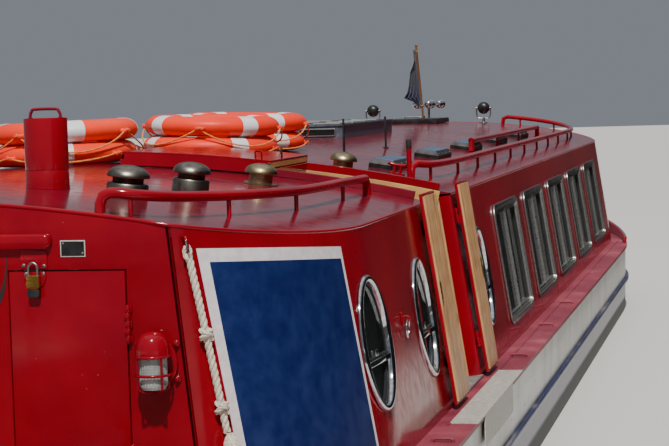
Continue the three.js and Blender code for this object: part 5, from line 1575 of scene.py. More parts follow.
# %% Bulkhead lamp
LAMP_X, LAMP_Z = 1.213, 1.676
lamp_face = AFT_FACE @ Matrix.Translation((LAMP_X, LAMP_Z, 0))
lamp_up = lamp_face @ Matrix.Translation((0, 0, 0.060)) @ Matrix.Rotation(-pi / 2, 4, "X")
lamp = Parts()
lamp.plate(crimson_trim, oval(0.070, 0.086, 40), 0.0008, 0.020, lamp_face, (), 0.003)
lug = [(0.013, 0.0008), (0.013, 0.008), (0.010, 0.011), (0.0075, 0.0115), (0.0070, 0.018), (0.004, 0.020)]
for x, z in ((-0.066, 0.062), (0.066, 0.062), (-0.066, -0.056), (0.066, -0.056)):
    lamp.turned(crimson_trim, lug, lamp_face @ Matrix.Translation((x, z, 0)), 18)
hood = [(0.058, 0.030), (0.0585, 0.046), (0.056, 0.066), (0.050, 0.084), (0.040, 0.097), (0.026, 0.106),
        (0.010, 0.110)]
lamp.turned(crimson_trim, [(0.054, 0.0305)] + hood, lamp_up, 44)
lamp.turned(frosted, [(0.0405, -0.082), (0.0445, -0.074), (0.0450, -0.060), (0.0450, 0.0300)], lamp_up, 44)
ribs = [lamp_up @ Matrix.Rotation(2 * pi * k / 26, 4, "Z") @ Matrix.Translation((0.0450, 0, -0.022))
        for k in range(26)]
lamp.add(*repeated("rod", ribs, frosted, Radius=0.0022, Height=0.098), frosted)
for z, r in ((0.028, 0.059), (-0.034, 0.058)):
    ring = [lamp_up @ Vector((r * cos(a), r * sin(a), z)) for a in turns(40)]
    lamp.tube(crimson_trim, ring, 0.0048, 10, True)
bars = [lamp_up @ Matrix.Rotation(pi / 2 * k + pi / 4, 4, "Z") @ Matrix.Translation((0.0575, 0, -0.026))
        for k in range(4)]
lamp.add(*repeated("rod", bars, crimson_trim, Radius=0.0042, Height=0.112), crimson_trim)
foot = [(0.0570 * cos(a), 0.0570 * sin(a)) for a in (pi / 2 * k + pi / 4 for k in range(4))]
for x, y in foot[:2]:
    cross = [lamp_up @ Vector(p) for p in ((x, y, -0.080), (x * 0.6, y * 0.6, -0.091),
                                           (-x * 0.6, -y * 0.6, -0.091), (-x, -y, -0.080))]
    lamp.tube(crimson_trim, smooth_path(cross, 18), 0.0042, 10)
lamp.piece("bulkhead_lamp_caged", BOAT, "cabin_red", 45, ["bulkhead_lamp"])
print("lamp ready")

# %% [markdown]
# ## Fittings on the side
# A ring hangs from a hook behind the aft side door, to hold the leaf back. A staple and a bright
# snap hook at the top of the quarter carry the fender's rope.

# %% Holdback, staple and snap hook
side_parts = Parts()
hold = side_flat(-5.222, 1.600, 1)
side_parts.plate(crimson_trim, round_rect(0.014, 0.030, 0.006), 0.0008, 0.005,
                 hold @ Matrix.Translation((0, 0.038, 0)), (), 0.0012)
peg = [(0, 0.044, 0.002), (0, 0.046, 0.022), (0, 0.038, 0.032), (0, 0.028, 0.030), (0, 0.026, 0.022)]
side_parts.tube(crimson_trim, smooth_path([hold @ Vector(p) for p in peg], 24), 0.0045, 10)
loop = [hold @ Vector((0.030 * sin(a), -0.004 + 0.034 * cos(a), 0.018 + 0.006 * cos(a))) for a in turns(40)]
side_parts.tube(chrome, loop, 0.0045, 10, True)
staple = [hang(FENDER_EYE + dz, out) for dz, out in (
    (0.046, -0.002), (0.046, 0.030), (0.040, 0.038), (0.016, 0.038), (0.010, 0.030), (0.010, -0.002))]
side_parts.tube(crimson_trim, smooth_path(staple, 36), 0.0055, 12)
snap = [hang(FENDER_EYE + 0.012 + 0.032 * cos(a), 0.030 + 0.010 * sin(a)) + Vector((0, -0.006 * sin(a), 0))
        for a in turns(40)]
side_parts.tube(chrome, snap, 0.0036, 10, True)
side_parts.piece("side_fittings", BOAT, "chrome", 45)
print("side fittings ready")

# %% [markdown]
# ## Handrails
# Tube rails run along both roof edges, bent down at their ends to the roof, on slim posts. A short
# third rail stands inboard on the starboard side.

# %% Rails
RAIL_R, RAIL_HIGH, POST_R = 0.019, 0.075, 0.0085
AFT_RAIL = [(1.078, -6.707), (1.119, -6.699), (1.190, -6.640), (1.262, -6.480), (1.332, -6.228),
            (1.390, -5.930), (1.435, -5.623), (1.455, -5.250), (1.463, -4.889), (1.478, -4.523)]
FORE_RAIL = [(1.452, -2.995), (1.500, -2.860), (1.522, -2.500), (1.530, -2.000), (1.530, 4.250),
             (1.518, 4.620), (1.480, 4.950), (1.410, 5.260), (1.310, 5.480), (1.180, 5.640), (1.020, 5.740),
             (0.820, 5.780)]
AFT_POSTS = [(1.119, -6.699), (1.332, -6.228), (1.435, -5.623), (1.463, -4.889)]
FORE_POSTS = [(1.500, -2.860), *((1.530, -2.120 + 6.250 * k / 8) for k in range(9)),
              (1.490, 4.890), (1.270, 5.535), (0.930, 5.762)]
# How a rail comes down to the roof: distance past its end, height
RAIL_BEND = ((0.062, 0.001), (0.060, RAIL_HIGH - 0.042), (0.046, RAIL_HIGH - 0.012),
             (0.018, RAIL_HIGH - 0.001))
INNER_RAIL, INNER_POSTS = [(1.285, 0.150), (1.285, 3.950)], [(1.285, 1.400), (1.285, 2.700)]


def roof_frame(x, y, lift=0.0):
    """Axes on the roof: x across, y to the bow, z square off the sheet."""
    out = Vector((x, 0, roof_z(x) - CAMBER_Z)).normalized()
    across = Vector((0, 1, 0)).cross(out)
    axes = Matrix((across, (0, 1, 0), out)).transposed().to_4x4()
    return Matrix.Translation(over_roof(x, y) + out * lift) @ axes


def rail_line(places):
    def foot(end, following):
        away = (Vector(end) - Vector(following)).normalized()
        return [over_roof(end[0] + d * away.x, end[1] + d * away.y, lift) for d, lift in RAIL_BEND]
    middle = []
    for a, b in zip(places, places[1:]):
        count = max(1, round((Vector(b) - Vector(a)).length / 0.8))
        middle += [over_roof(a[0] + (b[0] - a[0]) * k / count, a[1] + (b[1] - a[1]) * k / count, RAIL_HIGH)
                   for k in range(count)]
    middle.append(over_roof(*places[-1], RAIL_HIGH))
    return foot(places[0], places[1]) + middle + foot(places[-1], places[-2])[::-1]


def handrail(name, places, posts, hand, steps):
    flip = lambda p: Vector((p.x * hand, p.y, p.z))
    line = [flip(p) for p in smooth_path(rail_line(places), steps)]
    rail = Parts().tube(rail_paint, line, RAIL_R, 14)
    upright = [Matrix.Translation(flip(over_roof(x, y, RAIL_HIGH / 2 - 0.008))) for x, y in posts]
    rail.add(*repeated("rod", upright, rail_paint, Radius=POST_R, Height=RAIL_HIGH - 0.014), rail_paint)
    rail.piece(name + "_tube", BOAT, "roof_red", 45, [name])


rail_paint = crimson_trim
for hand, side_name in SIDES:
    handrail(f"handrail_{side_name}_aft", AFT_RAIL, AFT_POSTS, hand, 90)
    handrail(f"handrail_{side_name}_fore", FORE_RAIL, FORE_POSTS, hand, 170)
handrail("handrail_inner", INNER_RAIL, INNER_POSTS, 1, 60)
print("rails stand on", 2 * (len(AFT_POSTS) + len(FORE_POSTS)) + len(INNER_POSTS), "posts")

# %% [markdown]
# ## Mushroom vents and the chimney
# The vents are spun domes on short stems, some of brass and some dulled to pewter. The chimney is a
# red painted pipe in a collar with a hoop to lift it by.

# %% Vents
# Columns: x, y, dome radius, height
VENTS = [(0.900, -6.070, 0.080, 0.122), (0.990, -5.550, 0.075, 0.122), (1.060, -4.710, 0.072, 0.090),
         (1.095, -3.150, 0.070, 0.088)]
# Columns: share of the dome's radius, drop below its top
DOME = [(0.94, 0.042), (0.985, 0.0435), (1.0, 0.041), (0.993, 0.036), (0.95, 0.027), (0.86, 0.018),
        (0.72, 0.0105), (0.52, 0.005), (0.30, 0.0015), (0.13, 0.0002), (0.006, 0.0)]


def mushroom_vent(parts, at, dome, high, pewter):
    """A dome over a stem: the pewter ones stand in a collar, the brass ones on a screwed flange."""
    cap = [(dome * 0.60, high - 0.030)] + [(dome * share, high - drop) for share, drop in DOME]
    parts.turned(vent_steel if pewter else vent_brass, cap, at, 44)
    stem, eave = dome * 0.72, high - 0.036
    parts.turned(vent_dark if pewter else vent_brass, [(stem, 0.006), (stem, eave)], at, 36)
    if pewter:
        collar = [(dome * 0.98, 0.0004), (dome * 0.97, 0.050), (dome * 0.93, 0.056), (stem, 0.058)]
        parts.turned(vent_steel, collar, at, 40)
        return
    parts.turned(vent_brass, [(dome + 0.002, 0.0004), (dome + 0.002, 0.004), (dome - 0.003, 0.0075),
                              (stem, 0.009)], at, 40)
    heads = [at @ Matrix.Rotation(radians(60 * k + 20), 4, "Z") @ Matrix.Translation((dome * 0.88, 0, 0.0085))
             for k in range(6)]
    parts.add(*repeated("rod", heads, steel, Radius=0.0042, Height=0.0026), steel)


vent_pieces = Parts()
for hand in (1, -1):
    for index, (x, y, dome, high) in enumerate(VENTS):
        mushroom_vent(vent_pieces, roof_frame(hand * x, y), dome, high, index < 2)
vent_pieces.piece("mushroom_vents", BOAT, "bare_steel", 35)

# %% Chimney
CHIMNEY = {"x": 0.531, "y": -5.896, "r": 0.083, "high": 0.256, "collar": 0.062, "bore": 0.0765}
upright = Matrix.Translation((CHIMNEY["x"], CHIMNEY["y"], roof_z(CHIMNEY["x"]) + 0.010))
pipe_r, pipe_high, collar_high, bore = (CHIMNEY[k] for k in ("r", "high", "collar", "bore"))
stack = Parts()
foot_points, foot_faces = turned_shape([(0.0835, -0.010), (0.0825, 0.004), (0.0820, collar_high - 0.002),
                                        (0.0805, collar_high)], upright, 48)
foot_points = [Vector((p[0], p[1], roof_z(p[0]) + 0.0006)) if p[2] < upright.translation.z else p
               for p in foot_points]
stack.add(foot_points, foot_faces, crimson_trim)
pipe_profile = [(bore, collar_high - 0.001), (pipe_r, collar_high - 0.001), (pipe_r, pipe_high - 0.003),
                (pipe_r - 0.001, pipe_high), (bore + 0.001, pipe_high), (bore, pipe_high - 0.003),
                (bore - 0.001, collar_high + 0.004)]
stack.turned(crimson_trim, pipe_profile, upright, 48)
stack.turned(black_paint, [(0.076, collar_high + 0.004), (0.0755, collar_high + 0.006)], upright, 40)
hoop_places = [(-0.0600, -0.004), (-0.0600, 0.012), (-0.054, 0.026), (-0.042, 0.034), (0.042, 0.034),
               (0.054, 0.026), (0.0600, 0.012), (0.0600, -0.004)]
hoop_line = smooth_path([upright @ Vector((x, 0, pipe_high + z)) for x, z in hoop_places], 48)
stack.tube(sky_tinted_red, hoop_line, 0.006, 12)
for x in (-0.0600, 0.0600):
    stack.box(sky_tinted_red, (x - 0.010, -0.003, pipe_high - 0.020), (x + 0.010, 0.003, pipe_high + 0.002),
              upright)
stack.piece("chimney_pipe", BOAT, "cabin_red", 40, ["chimney"])
print("vents and chimney ready")

# %% [markdown]
# ## Life rings
# Six orange rings lie on the roof in three stacks of two. Each has four white bands and a line of
# orange rope held at four lugs, slack between them.

# %% Life rings
RING_CENTRE, TUBE_X, TUBE_Z = 0.285, 0.075, 0.054
# Columns: name, x, y, where the first band of the lower and of the upper ring lies, in degrees
STACKS = [("life_rings_port", -0.175, -3.750, -70, -62), ("life_rings_middle", 0.290, -2.750, -48, -40),
          ("life_rings_fore", 0.243, -1.900, -35, -43)]
BAND_HALF = radians(7.5)


def ring_surface(turn, around, swell=0.0):
    out = RING_CENTRE + (TUBE_X + swell) * cos(around)
    return Vector((out * cos(turn), out * sin(turn), (TUBE_Z + swell) * sin(around)))


def ring_shape_at(at, start, sides=28, steps=96):
    rows = [[at @ ring_surface(2 * pi * i / steps + start, 2 * pi * k / sides, -0.0016)
             for k in range(sides)] for i in range(steps + 1)]
    return grid_shape(rows, True)


def band_shape_at(at, middle, sides=28, steps=5):
    rows = [[at @ ring_surface(middle + BAND_HALF * (2 * i / steps - 1), 2 * pi * k / sides)
             for k in range(sides)] for i in range(steps + 1)]
    return capped(rows)


def grab_line(at, start, drop, steps=160):
    """The line is held at a lug in each quarter and hangs slack over the rim between them."""
    route = []
    for k in range(steps + 1):
        share = (k / steps * 4) % 1
        turn = start + 2 * pi * k / steps * 0.995
        slack = sin(pi * share) ** 0.8
        out = RING_CENTRE + TUBE_X + 0.008 + 0.010 * slack
        route.append(at @ Vector((out * cos(turn), out * sin(turn), -0.004 - drop * slack)))
    return route


for name, x, y, low_band, high_band in STACKS:
    rings = Parts()
    lean = roof_frame(x, y)
    for lift, shift, band, drop in ((TUBE_Z + 0.0003, (0, 0), low_band, 0.034),
                                    (3 * TUBE_Z - 0.0017, (0.006, 0.012), high_band, 0.094)):
        at = lean @ Matrix.Translation((*shift, lift))
        start = radians(band)
        rings.add(*ring_shape_at(at, start), orange_shell)
        for quarter in range(4):
            middle = start + pi / 2 * quarter
            rings.add(*band_shape_at(at, middle), white_band)
            lug = [at @ ring_surface(middle + pi / 4 + radians(d), radians(a), s)
                   for d, a, s in ((-4, -8, -0.004), (-3, -8, 0.015), (3, -8, 0.015), (4, -8, -0.004))]
            rings.tube(orange_shell, lug, 0.011, 8, flat=0.6)
            rings.add(*knot_shape(at @ Vector(ring_surface(middle + pi / 4, radians(-6), 0.014)), 0.010,
                                  1.5, 0.0048), ring_rope)
        rings.add(*rope_shape(grab_line(at, start + pi / 4, drop), 0.0055, 0.034), ring_rope)
    rings.piece(name + "_shells", BOAT, "ring_shell", 60, [name])
print("life rings:", 2 * len(STACKS))

# %% [markdown]
# ## Skylights and small fittings on the roof
# Five low bevelled skylights run inside the starboard rail, and a raised one stands on the
# centreline. A post with a black tip, a cleat and two slim rods stand along the same side.

# %% Low skylights
LOW_LIGHT = {"x": 1.215, "step": -0.008, "wide": 0.074, "long": 0.260, "high": 0.046, "bevel": 0.020,
             "first": -2.450, "pitch": 1.450}


def frustum(at, half, top, low, shoulder, high):
    """A box whose upper edges are bevelled in to a smaller top."""
    levels = [(half, low), (half, shoulder), (top, high)]
    rows = [[at @ Vector((sx * w, sy * l, z)) for sx, sy in ((-1, -1), (1, -1), (1, 1), (-1, 1))]
            for (w, l), z in levels]
    return capped(rows)


lights = Parts()
for place in range(5):
    x, y = LOW_LIGHT["x"] + LOW_LIGHT["step"] * place, LOW_LIGHT["first"] + LOW_LIGHT["pitch"] * place
    wide, long, bevel, high = (LOW_LIGHT[k] for k in ("wide", "long", "bevel", "high"))
    at = roof_frame(x, y)
    lights.add(*frustum(at, (wide, long), (wide - bevel, long - bevel), -0.004, 0.022, high), black_paint)
    foot, crown = ((wide - bevel - d, long - bevel - d) for d in (0.004, 0.007))
    lights.add(*frustum(at, foot, crown, high - 0.001, high + 0.0015, high + 0.0035), dusty_top)
    for across in (-1, 1):
        for step in range(4):
            head = at @ Matrix.Translation((across * (wide - 0.007),
                                            -long + 0.060 + step * (2 * long - 0.12) / 3, 0.030))
            lights.turned(steel, [(0.0055, 0.0), (0.0050, 0.003), (0.0020, 0.0045)], head, 8)
lights.piece("low_skylights", BOAT, "roof_red", 30, (), 0.002)

# %% Raised skylight
SKYLIGHT_HALF, SKYLIGHT_Y, SKYLIGHT_TOP = 0.350, (0.400, 2.250), roof_z(0) + 0.092
frame = Parts()
low = roof_z(SKYLIGHT_HALF) - 0.010
ridge = Matrix.Translation((0, sum(SKYLIGHT_Y) / 2, 0))
half_long = (SKYLIGHT_Y[1] - SKYLIGHT_Y[0]) / 2
frame.box(satin_grey, (-SKYLIGHT_HALF, -half_long, low), (SKYLIGHT_HALF, half_long, SKYLIGHT_TOP - 0.012),
          ridge)
frame.box(satin_grey, (-SKYLIGHT_HALF - 0.008, -half_long - 0.008, SKYLIGHT_TOP - 0.013),
          (SKYLIGHT_HALF + 0.008, half_long + 0.008, SKYLIGHT_TOP), ridge)
aft_side = frame_at((0, SKYLIGHT_Y[0], 0), (1, 0, 0), (0, 0, 1))
for x in (-0.170, 0.170):
    pane, inner = ([(px + x, pz + SKYLIGHT_TOP - 0.056) for px, pz in round_rect(*size)]
                   for size in ((0.130, 0.028, 0.010), (0.122, 0.020, 0.008)))
    frame.plate(aluminium, pane, 0.0, 0.006, aft_side, [inner], 0.0015)
    frame.plate(glass, inner, 0.0003, 0.002, aft_side)
for y in (-0.60, -0.20, 0.20, 0.60):
    for across in (-1, 1):
        lid = Matrix.Translation((across * 0.172, sum(SKYLIGHT_Y) / 2 + y * 1.10, SKYLIGHT_TOP))
        frame.plate(aluminium, round_rect(0.150, 0.190, 0.015), 0.0002, 0.005, lid,
                    [round_rect(0.135, 0.175, 0.010)], 0.001)
        frame.plate(glass, round_rect(0.1355, 0.1755, 0.010), 0.0002, 0.0025, lid)
frame.piece("skylight_frame", BOAT, "aluminium", 35, ["skylight"], 0.002)

# %% Posts, cleat and rods
small = Parts()
POST = Matrix.Translation(over_roof(1.428, -3.082))
small.turned(crimson_trim, [(0.0135, 0.0), (0.013, 0.003), (0.013, 0.154)], POST, 20)
small.turned(black_rubber, [(0.0138, 0.152), (0.0145, 0.154), (0.0145, 0.190), (0.0120, 0.198),
                            (0.006, 0.200)], POST, 20)
small.turned(crimson_trim, [(0.026, 0.0005), (0.026, 0.004), (0.015, 0.008)], POST, 24)
for x, y in ((0.800, -1.700), (0.855, -0.683)):
    at = Matrix.Translation(over_roof(x, y))
    small.turned(black_paint, [(0.0068, 0.0), (0.0068, 0.196), (0.0050, 0.200)], at, 12)
    small.turned(black_paint, [(0.020, 0.0005), (0.020, 0.004), (0.0072, 0.010)], at, 18)
CLEAT = roof_frame(1.348, -3.010)
small.box(crimson_trim, (-0.038, -0.025, 0.0005), (0.038, 0.025, 0.012), CLEAT)
for x in (-0.016, 0.016):
    small.turned(crimson_trim, [(0.010, 0.011), (0.008, 0.018), (0.008, 0.048)],
                 CLEAT @ Matrix.Translation((x, 0, 0)), 14)
horned = [Vector(p) for p in ((-0.052, 0, 0.058), (-0.030, 0, 0.052), (0, 0, 0.050), (0.030, 0, 0.052),
                              (0.052, 0, 0.058))]
small.tube(crimson_trim, [CLEAT @ p for p in smooth_path(horned, 20)], 0.0095, 12)
small.piece("roof_posts", BOAT, "black_paint", 45, (), 0.0)
print("roof fittings ready")

# %% Fore hatch
slab = Parts()
SLAB_HALF, SLAB_Y, SLAB_HIGH = 0.250, (5.150, 5.770), 0.042
slab.box(black_paint, (-SLAB_HALF, SLAB_Y[0], roof_z(0) + 0.0008),
         (SLAB_HALF, SLAB_Y[1], roof_z(0) + SLAB_HIGH - 0.010))
slab.box(black_paint, (-SLAB_HALF + 0.003, SLAB_Y[0] + 0.003, roof_z(0) + SLAB_HIGH - 0.011),
         (SLAB_HALF - 0.003, SLAB_Y[1] - 0.003, roof_z(0) + SLAB_HIGH))
grip = [(-0.070, 5.215, 0.040), (-0.066, 5.215, 0.060), (0.066, 5.215, 0.060), (0.070, 5.215, 0.040)]
slab.tube(steel, smooth_path([Vector((x, y, roof_z(0) + z)) for x, y, z in grip], 24), 0.006, 10)
slab.piece("fore_hatch_slab", "slab", "black_paint", 35, ["fore_hatch"], 0.003)

# %% [markdown]
# ## Lamps, horns, staff and flag
# Two round lamps stand on forked brackets at the fore end of the roof, with three trumpet horns
# between them. A limp flag hangs from a leaning wooden staff.

# %% Lamps and horns
LAMP = {"half": 0.535, "shift": 0.045, "y": 5.790, "z": 2.365, "r": 0.057, "arm": 0.066, "foot": 0.095}
fore_lamps = Parts()
for hand in (1, -1):
    x, y, z = LAMP["shift"] + hand * LAMP["half"], LAMP["y"], LAMP["z"]
    ahead = placed((x, y, z), -pi / 2)
    bowl = [(0.012, -0.034), (0.034, -0.030), (0.050, -0.016), (LAMP["r"], 0.004), (LAMP["r"], 0.033),
            (0.052, 0.035)]
    fore_lamps.turned(black_paint, bowl, ahead, 36)
    fore_lamps.turned(frosted, [(0.0525, 0.028), (0.040, 0.0315), (0.020, 0.0335), (0.004, 0.034)], ahead,
                      36)
    low = z - LAMP["foot"]
    arm = LAMP["arm"]
    fork = [(-arm, 0.006), (-arm, -0.060), (-arm + 0.014, -0.090), (-0.030, -0.095), (0.030, -0.095),
            (arm - 0.014, -0.090), (arm, -0.060), (arm, 0.006)]
    fore_lamps.tube(steel, smooth_path([Vector((x + fx, y, z + fz)) for fx, fz in fork], 48), 0.0075, 10,
                    flat=0.6)
    for side in (-1, 1):
        pivot = placed((x + side * (arm - 0.010), y, z), side * pi / 2, "Y")
        fore_lamps.turned(steel, [(0.006, 0.0), (0.011, 0.001), (0.011, 0.016), (0.007, 0.020)], pivot, 16)
    stand = Matrix.Translation((x, y, roof_z(x)))
    fore_lamps.turned(steel, [(0.034, 0.0005), (0.034, 0.006), (0.013, 0.012),
                              (0.012, low - roof_z(x) + 0.002)], stand, 24)
fore_lamps.piece("fore_lamps", BOAT, "black_paint", 40)
HORN_Z, HORN_Y, BAR_Y = 2.412, 5.826, 5.900
horns = Parts()
for x, long in ((-0.075, 0.140), (0.040, 0.190), (0.145, 0.160)):
    along = placed((x, HORN_Y, HORN_Z), -pi / 2)
    drum = [(0.004, 0.0), (0.022, 0.003), (0.034, 0.012), (0.038, 0.024), (0.038, 0.038), (0.024, 0.046),
            (0.014, 0.052)]
    flare = [(0.0142, 0.060), (0.016, long - 0.050), (0.022, long - 0.026), (0.031, long - 0.009),
             (0.040, long), (0.037, long), (0.014, long - 0.040), (0.006, 0.060)]
    horns.turned(chrome, drum + flare, along, 32)
horns.box(steel, (-0.090, BAR_Y - 0.012, HORN_Z - 0.024), (0.160, BAR_Y + 0.012, HORN_Z - 0.008))
stand = Matrix.Translation((0.035, BAR_Y, roof_z(0.035)))
horns.turned(steel, [(0.030, 0.0005), (0.030, 0.005), (0.012, 0.010),
                     (0.012, HORN_Z - 0.024 - roof_z(0.035) + 0.002)], stand, 20)
horns.piece("trumpet_horns", BOAT, "chrome", 45, ["horns"])

# %% Staff and flag
STAFF_Y, STAFF_FOOT, STAFF_TOP, STAFF_LEAN = 5.800, 2.244, 2.990, -0.055
staff_x = lambda z: STAFF_LEAN * (z - STAFF_FOOT) / (STAFF_TOP - STAFF_FOOT)
staff = Parts()
staff_line = [Vector((staff_x(z), STAFF_Y, z))
              for z in (roof_z(0) + 0.004, 2.40, 2.60, 2.80, STAFF_TOP - 0.020)]
staff.tube(staff_wood, staff_line, 0.0105, 16)
staff.turned(staff_wood, [(0.0105, -0.004), (0.014, 0.004), (0.015, 0.010), (0.010, 0.018), (0.004, 0.020)],
             Matrix.Translation((staff_x(STAFF_TOP - 0.020), STAFF_Y, STAFF_TOP - 0.020)), 16)
staff.turned(brass, [(0.026, 0.0005), (0.026, 0.008), (0.014, 0.014), (0.0135, 0.060), (0.0112, 0.062)],
             Matrix.Translation((0, STAFF_Y, roof_z(0))), 20)
staff.piece("staff_pole", BOAT, "floor_wood", 45, ["flag_staff"])
# Columns: height, reach to port of the staff
FLAG_ROWS = [(2.940, 0.004), (2.839, 0.016), (2.782, 0.038), (2.725, 0.070), (2.602, 0.096), (2.526, 0.120),
             (2.478, 0.158), (2.440, 0.060), (2.392, 0.014)]
CLOTH_WIDE, CLOTH_LONG, PLEATS, TIGHT = 0.260, 0.548, 8, 0.020


def flag_cloth_rows(steps=50, fine=6):
    """The cloth hangs in upright pleats. Each row keeps the cloth's full width, folded into its reach."""
    heights, reaches = [r[0] for r in FLAG_ROWS], [r[1] for r in FLAG_ROWS]
    rows = []
    for i in range(steps + 1):
        z = heights[0] + (heights[-1] - heights[0]) * i / steps
        k = next(n for n in range(len(heights) - 1) if z >= heights[n + 1] - 1e-9)
        share = (heights[k] - z) / (heights[k] - heights[k + 1])
        reach = max(TIGHT, reaches[k] + (reaches[k + 1] - reaches[k]) * share)
        depth = sqrt(CLOTH_WIDE ** 2 - reach ** 2) / PLEATS
        row = []
        for n in range(PLEATS * fine + 1):
            t = n / (PLEATS * fine)
            fold = 0.5 * depth * sin(pi * PLEATS * t)
            row.append(Vector((staff_x(z) - 0.0125 - reach * t, STAFF_Y + fold, z)))
        rows.append(row)
    return rows


rows = flag_cloth_rows()
thick = Vector((0, 0.0006, 0))
flag = mesh_piece("flag_sheet", *slab_shape([[p + thick for p in row] for row in rows],
                                            [[p - thick for p in row] for row in rows]), flag_cloth, 80)
settle(flag, BOAT, ["flag"])
toggles = Parts()
for z in (2.925, 2.405):
    ring = [Vector((staff_x(z) + 0.0125 * cos(a), STAFF_Y + 0.0125 * sin(a), z)) for a in turns(20)]
    toggles.tube(cotton, ring, 0.0018, 8, True)
toggles = toggles.piece("flag_ties", BOAT, "rope_white", 60)
print("staff and flag ready")

# %% [markdown]
# ## The hull
# One steel shell over fair curves: a round counter over the propeller, straight sides, a raked stem.

# %% Hull lines
BOTTOM, COUNTER, DECK_UNDER, LIP = 0.130, 0.500, 1.130, 0.012
SWIM, SWIM_END, STOCK_Y, SHAFT_Z = -5.400, -7.480, -7.860, 0.290
SHARES = [k / 26 for k in range(27)]


def beam(z, inset):
    return HALF_BEAM - FLARE * (1 - z / DECK_Z) - inset


def stem_tip(z, inset):
    return BOW - inset - 0.22 * max(0, DECK_Z - z) - (0.04 if z < BOTTOM else 0)


def level_line(z, inset=0.0, swim=False):
    """A closed line round the hull at height z, moved in by inset."""
    wide, half = beam(z, inset), []
    for t in reversed(SHARES):
        turn = pi / 2 * t
        if swim:
            narrow = max(0.070 - inset, 0.004)
            half.append((narrow + (wide - narrow) * (1 - t ** 1.8), SWIM + (SWIM_END + inset - SWIM) * t,
                         z))
        else:
            half.append((wide * max(cos(turn), 1e-3) ** 0.92,
                         HULL_AFT + (STERN + inset - HULL_AFT) * sin(turn), z))
    for t in SHARES:
        turn = pi / 2 * t
        half.append((wide * max(cos(turn), 1e-3) ** 1.25,
                     HULL_FORE + (stem_tip(z, inset) - HULL_FORE) * sin(turn), z))
    return half + [(-x, y, high) for x, y, high in reversed(half)]


def hull_x(y, z=DECK_Z, inset=0.0):
    if y < HULL_AFT:
        s, power = (y - HULL_AFT) / (STERN + inset - HULL_AFT), 0.46
    else:
        s, power = max(0, y - HULL_FORE) / (stem_tip(z, inset) - HULL_FORE), 0.625
    return beam(z, inset) * max(0, 1 - s * s) ** power


STOCK_HOLE = 0.0256
stock_hole = turned_shape([(STOCK_HOLE, 0.020), (STOCK_HOLE, 1.3)], Matrix.Translation((0, STOCK_Y, 0)), 48)
shell = Parts()
# Up the outside and down the inside: height, inset, whether the line runs in to the swim
SKIN = ((BOTTOM + 0.0002, 0, True), (COUNTER, 0, True), (COUNTER,), (0.8,), (DECK_UNDER - 0.0002,),
        (DECK_UNDER - 0.0002, 0.05), (0.52, 0.05), (0.52, 0.05, True), (BOTTOM + 0.0002, 0.05, True))
shell.add(*capped([level_line(*level) for level in SKIN], False), hull_paint)
hull = cut(mesh_piece("hull_shell", shell.points, shell.faces, hull_paint, 30), [stock_hole])
trim = Parts()
STRAKE_AFT, STRAKE_FORE, STRAKE_Z = -5.9, 5.6, 0.862
strake = [(-0.004, -0.018), (0.024, -0.018), (0.028, -0.012), (0.028, 0.012), (0.024, 0.018),
          (-0.004, 0.018)]
for hand in (1, -1):
    rows = []
    for k in range(91):
        y = STRAKE_AFT + (STRAKE_FORE - STRAKE_AFT) * k / 90
        taper = min(1, min(y - STRAKE_AFT, STRAKE_FORE - y) / 0.06 + 0.2)
        rows.append([Vector((hand * (hull_x(y, STRAKE_Z) + out * taper), y, STRAKE_Z + up))
                     for out, up in strake])
    trim.add(*capped(rows, False), hull_paint)
tube = placed((0, -7.30, SHAFT_Z), pi / 2)
trim.turned(bottom_black, [(0.034, 0), (0.042, 0.02), (0.042, 0.215), (0.048, 0.22), (0.048, 0.25),
                           (0.044, 0.26), (0.0226, 0.26), (0.0226, 0.182)], tube, 40)
trim.piece("hull_strakes", BOAT, "hull_paint", 35)
settle(hull, BOAT, ["hull_stern", "hull_bow", "hull_side_starboard", "hull_side_port"])
base = Parts()
base.add(*capped([level_line(0, 0.01, True), level_line(0.012, 0, True), level_line(BOTTOM, 0, True)],
                 False), bottom_black)
middle = STOCK_Y + 0.165
heel = [(x, y - middle) for x, y in rect(-0.060, 0.060, STOCK_Y - 0.060, SWIM_END + 0.010)]
bearing = [(x, y + STOCK_Y - middle) for x, y in oval(STOCK_HOLE, STOCK_HOLE, 32)]
base.plate(bottom_black, heel, 0.0, 0.050, Matrix.Translation((0, middle, 0)), [bearing])
base.piece("hull_bottom_plate", BOAT, "bottom_black", 30, ["hull_bottom"])
anodes = Parts()
for hand in (1, -1):
    for y in (-4.4, -1.5, 1.5, 4.0):
        x = hand * hull_x(y, 0.3)
        block = round_rect(0.15, 0.035, 0.02, 4)
        place = frame_at((x - hand * 0.004, y, 0.3), (0, hand, 0), (0, 0, 1))
        anodes.plate(satin_grey, block, 0.0, 0.030, place, (), 0.008)
anodes.piece("hull_anodes", BOAT, "bare_steel")
print("hull plated:", len(hull.data.polygons), "faces")

# %% [markdown]
# ## Decks
# The decks are one level. A low upstand runs along each side deck, with flat straps to tie the boat to.

# %% Decks
RED_TOP = DECK_Z - 0.0001
AFT_DECK_FORE, FORE_DECK_AFT = -6.6902, 5.8902
SIDE_DECK_AFT, SIDE_DECK_LONG = -6.6898, 12.5796


def deck_shape(ys, inner):
    """A deck plate between the cabin's foot, or the middle, and the hull's edge."""
    top = [[Vector((inner(y), y, RED_TOP)), Vector((hull_x(y, DECK_Z, -LIP), y, RED_TOP))] for y in ys]
    return slab_shape(top, [[p - Vector((0, 0, 0.0199)) for p in row] for row in top])


def eased(y0, y1, steps):
    return [y0 + (y1 - y0) * sin(pi / 2 * k / steps) for k in range(steps + 1)]


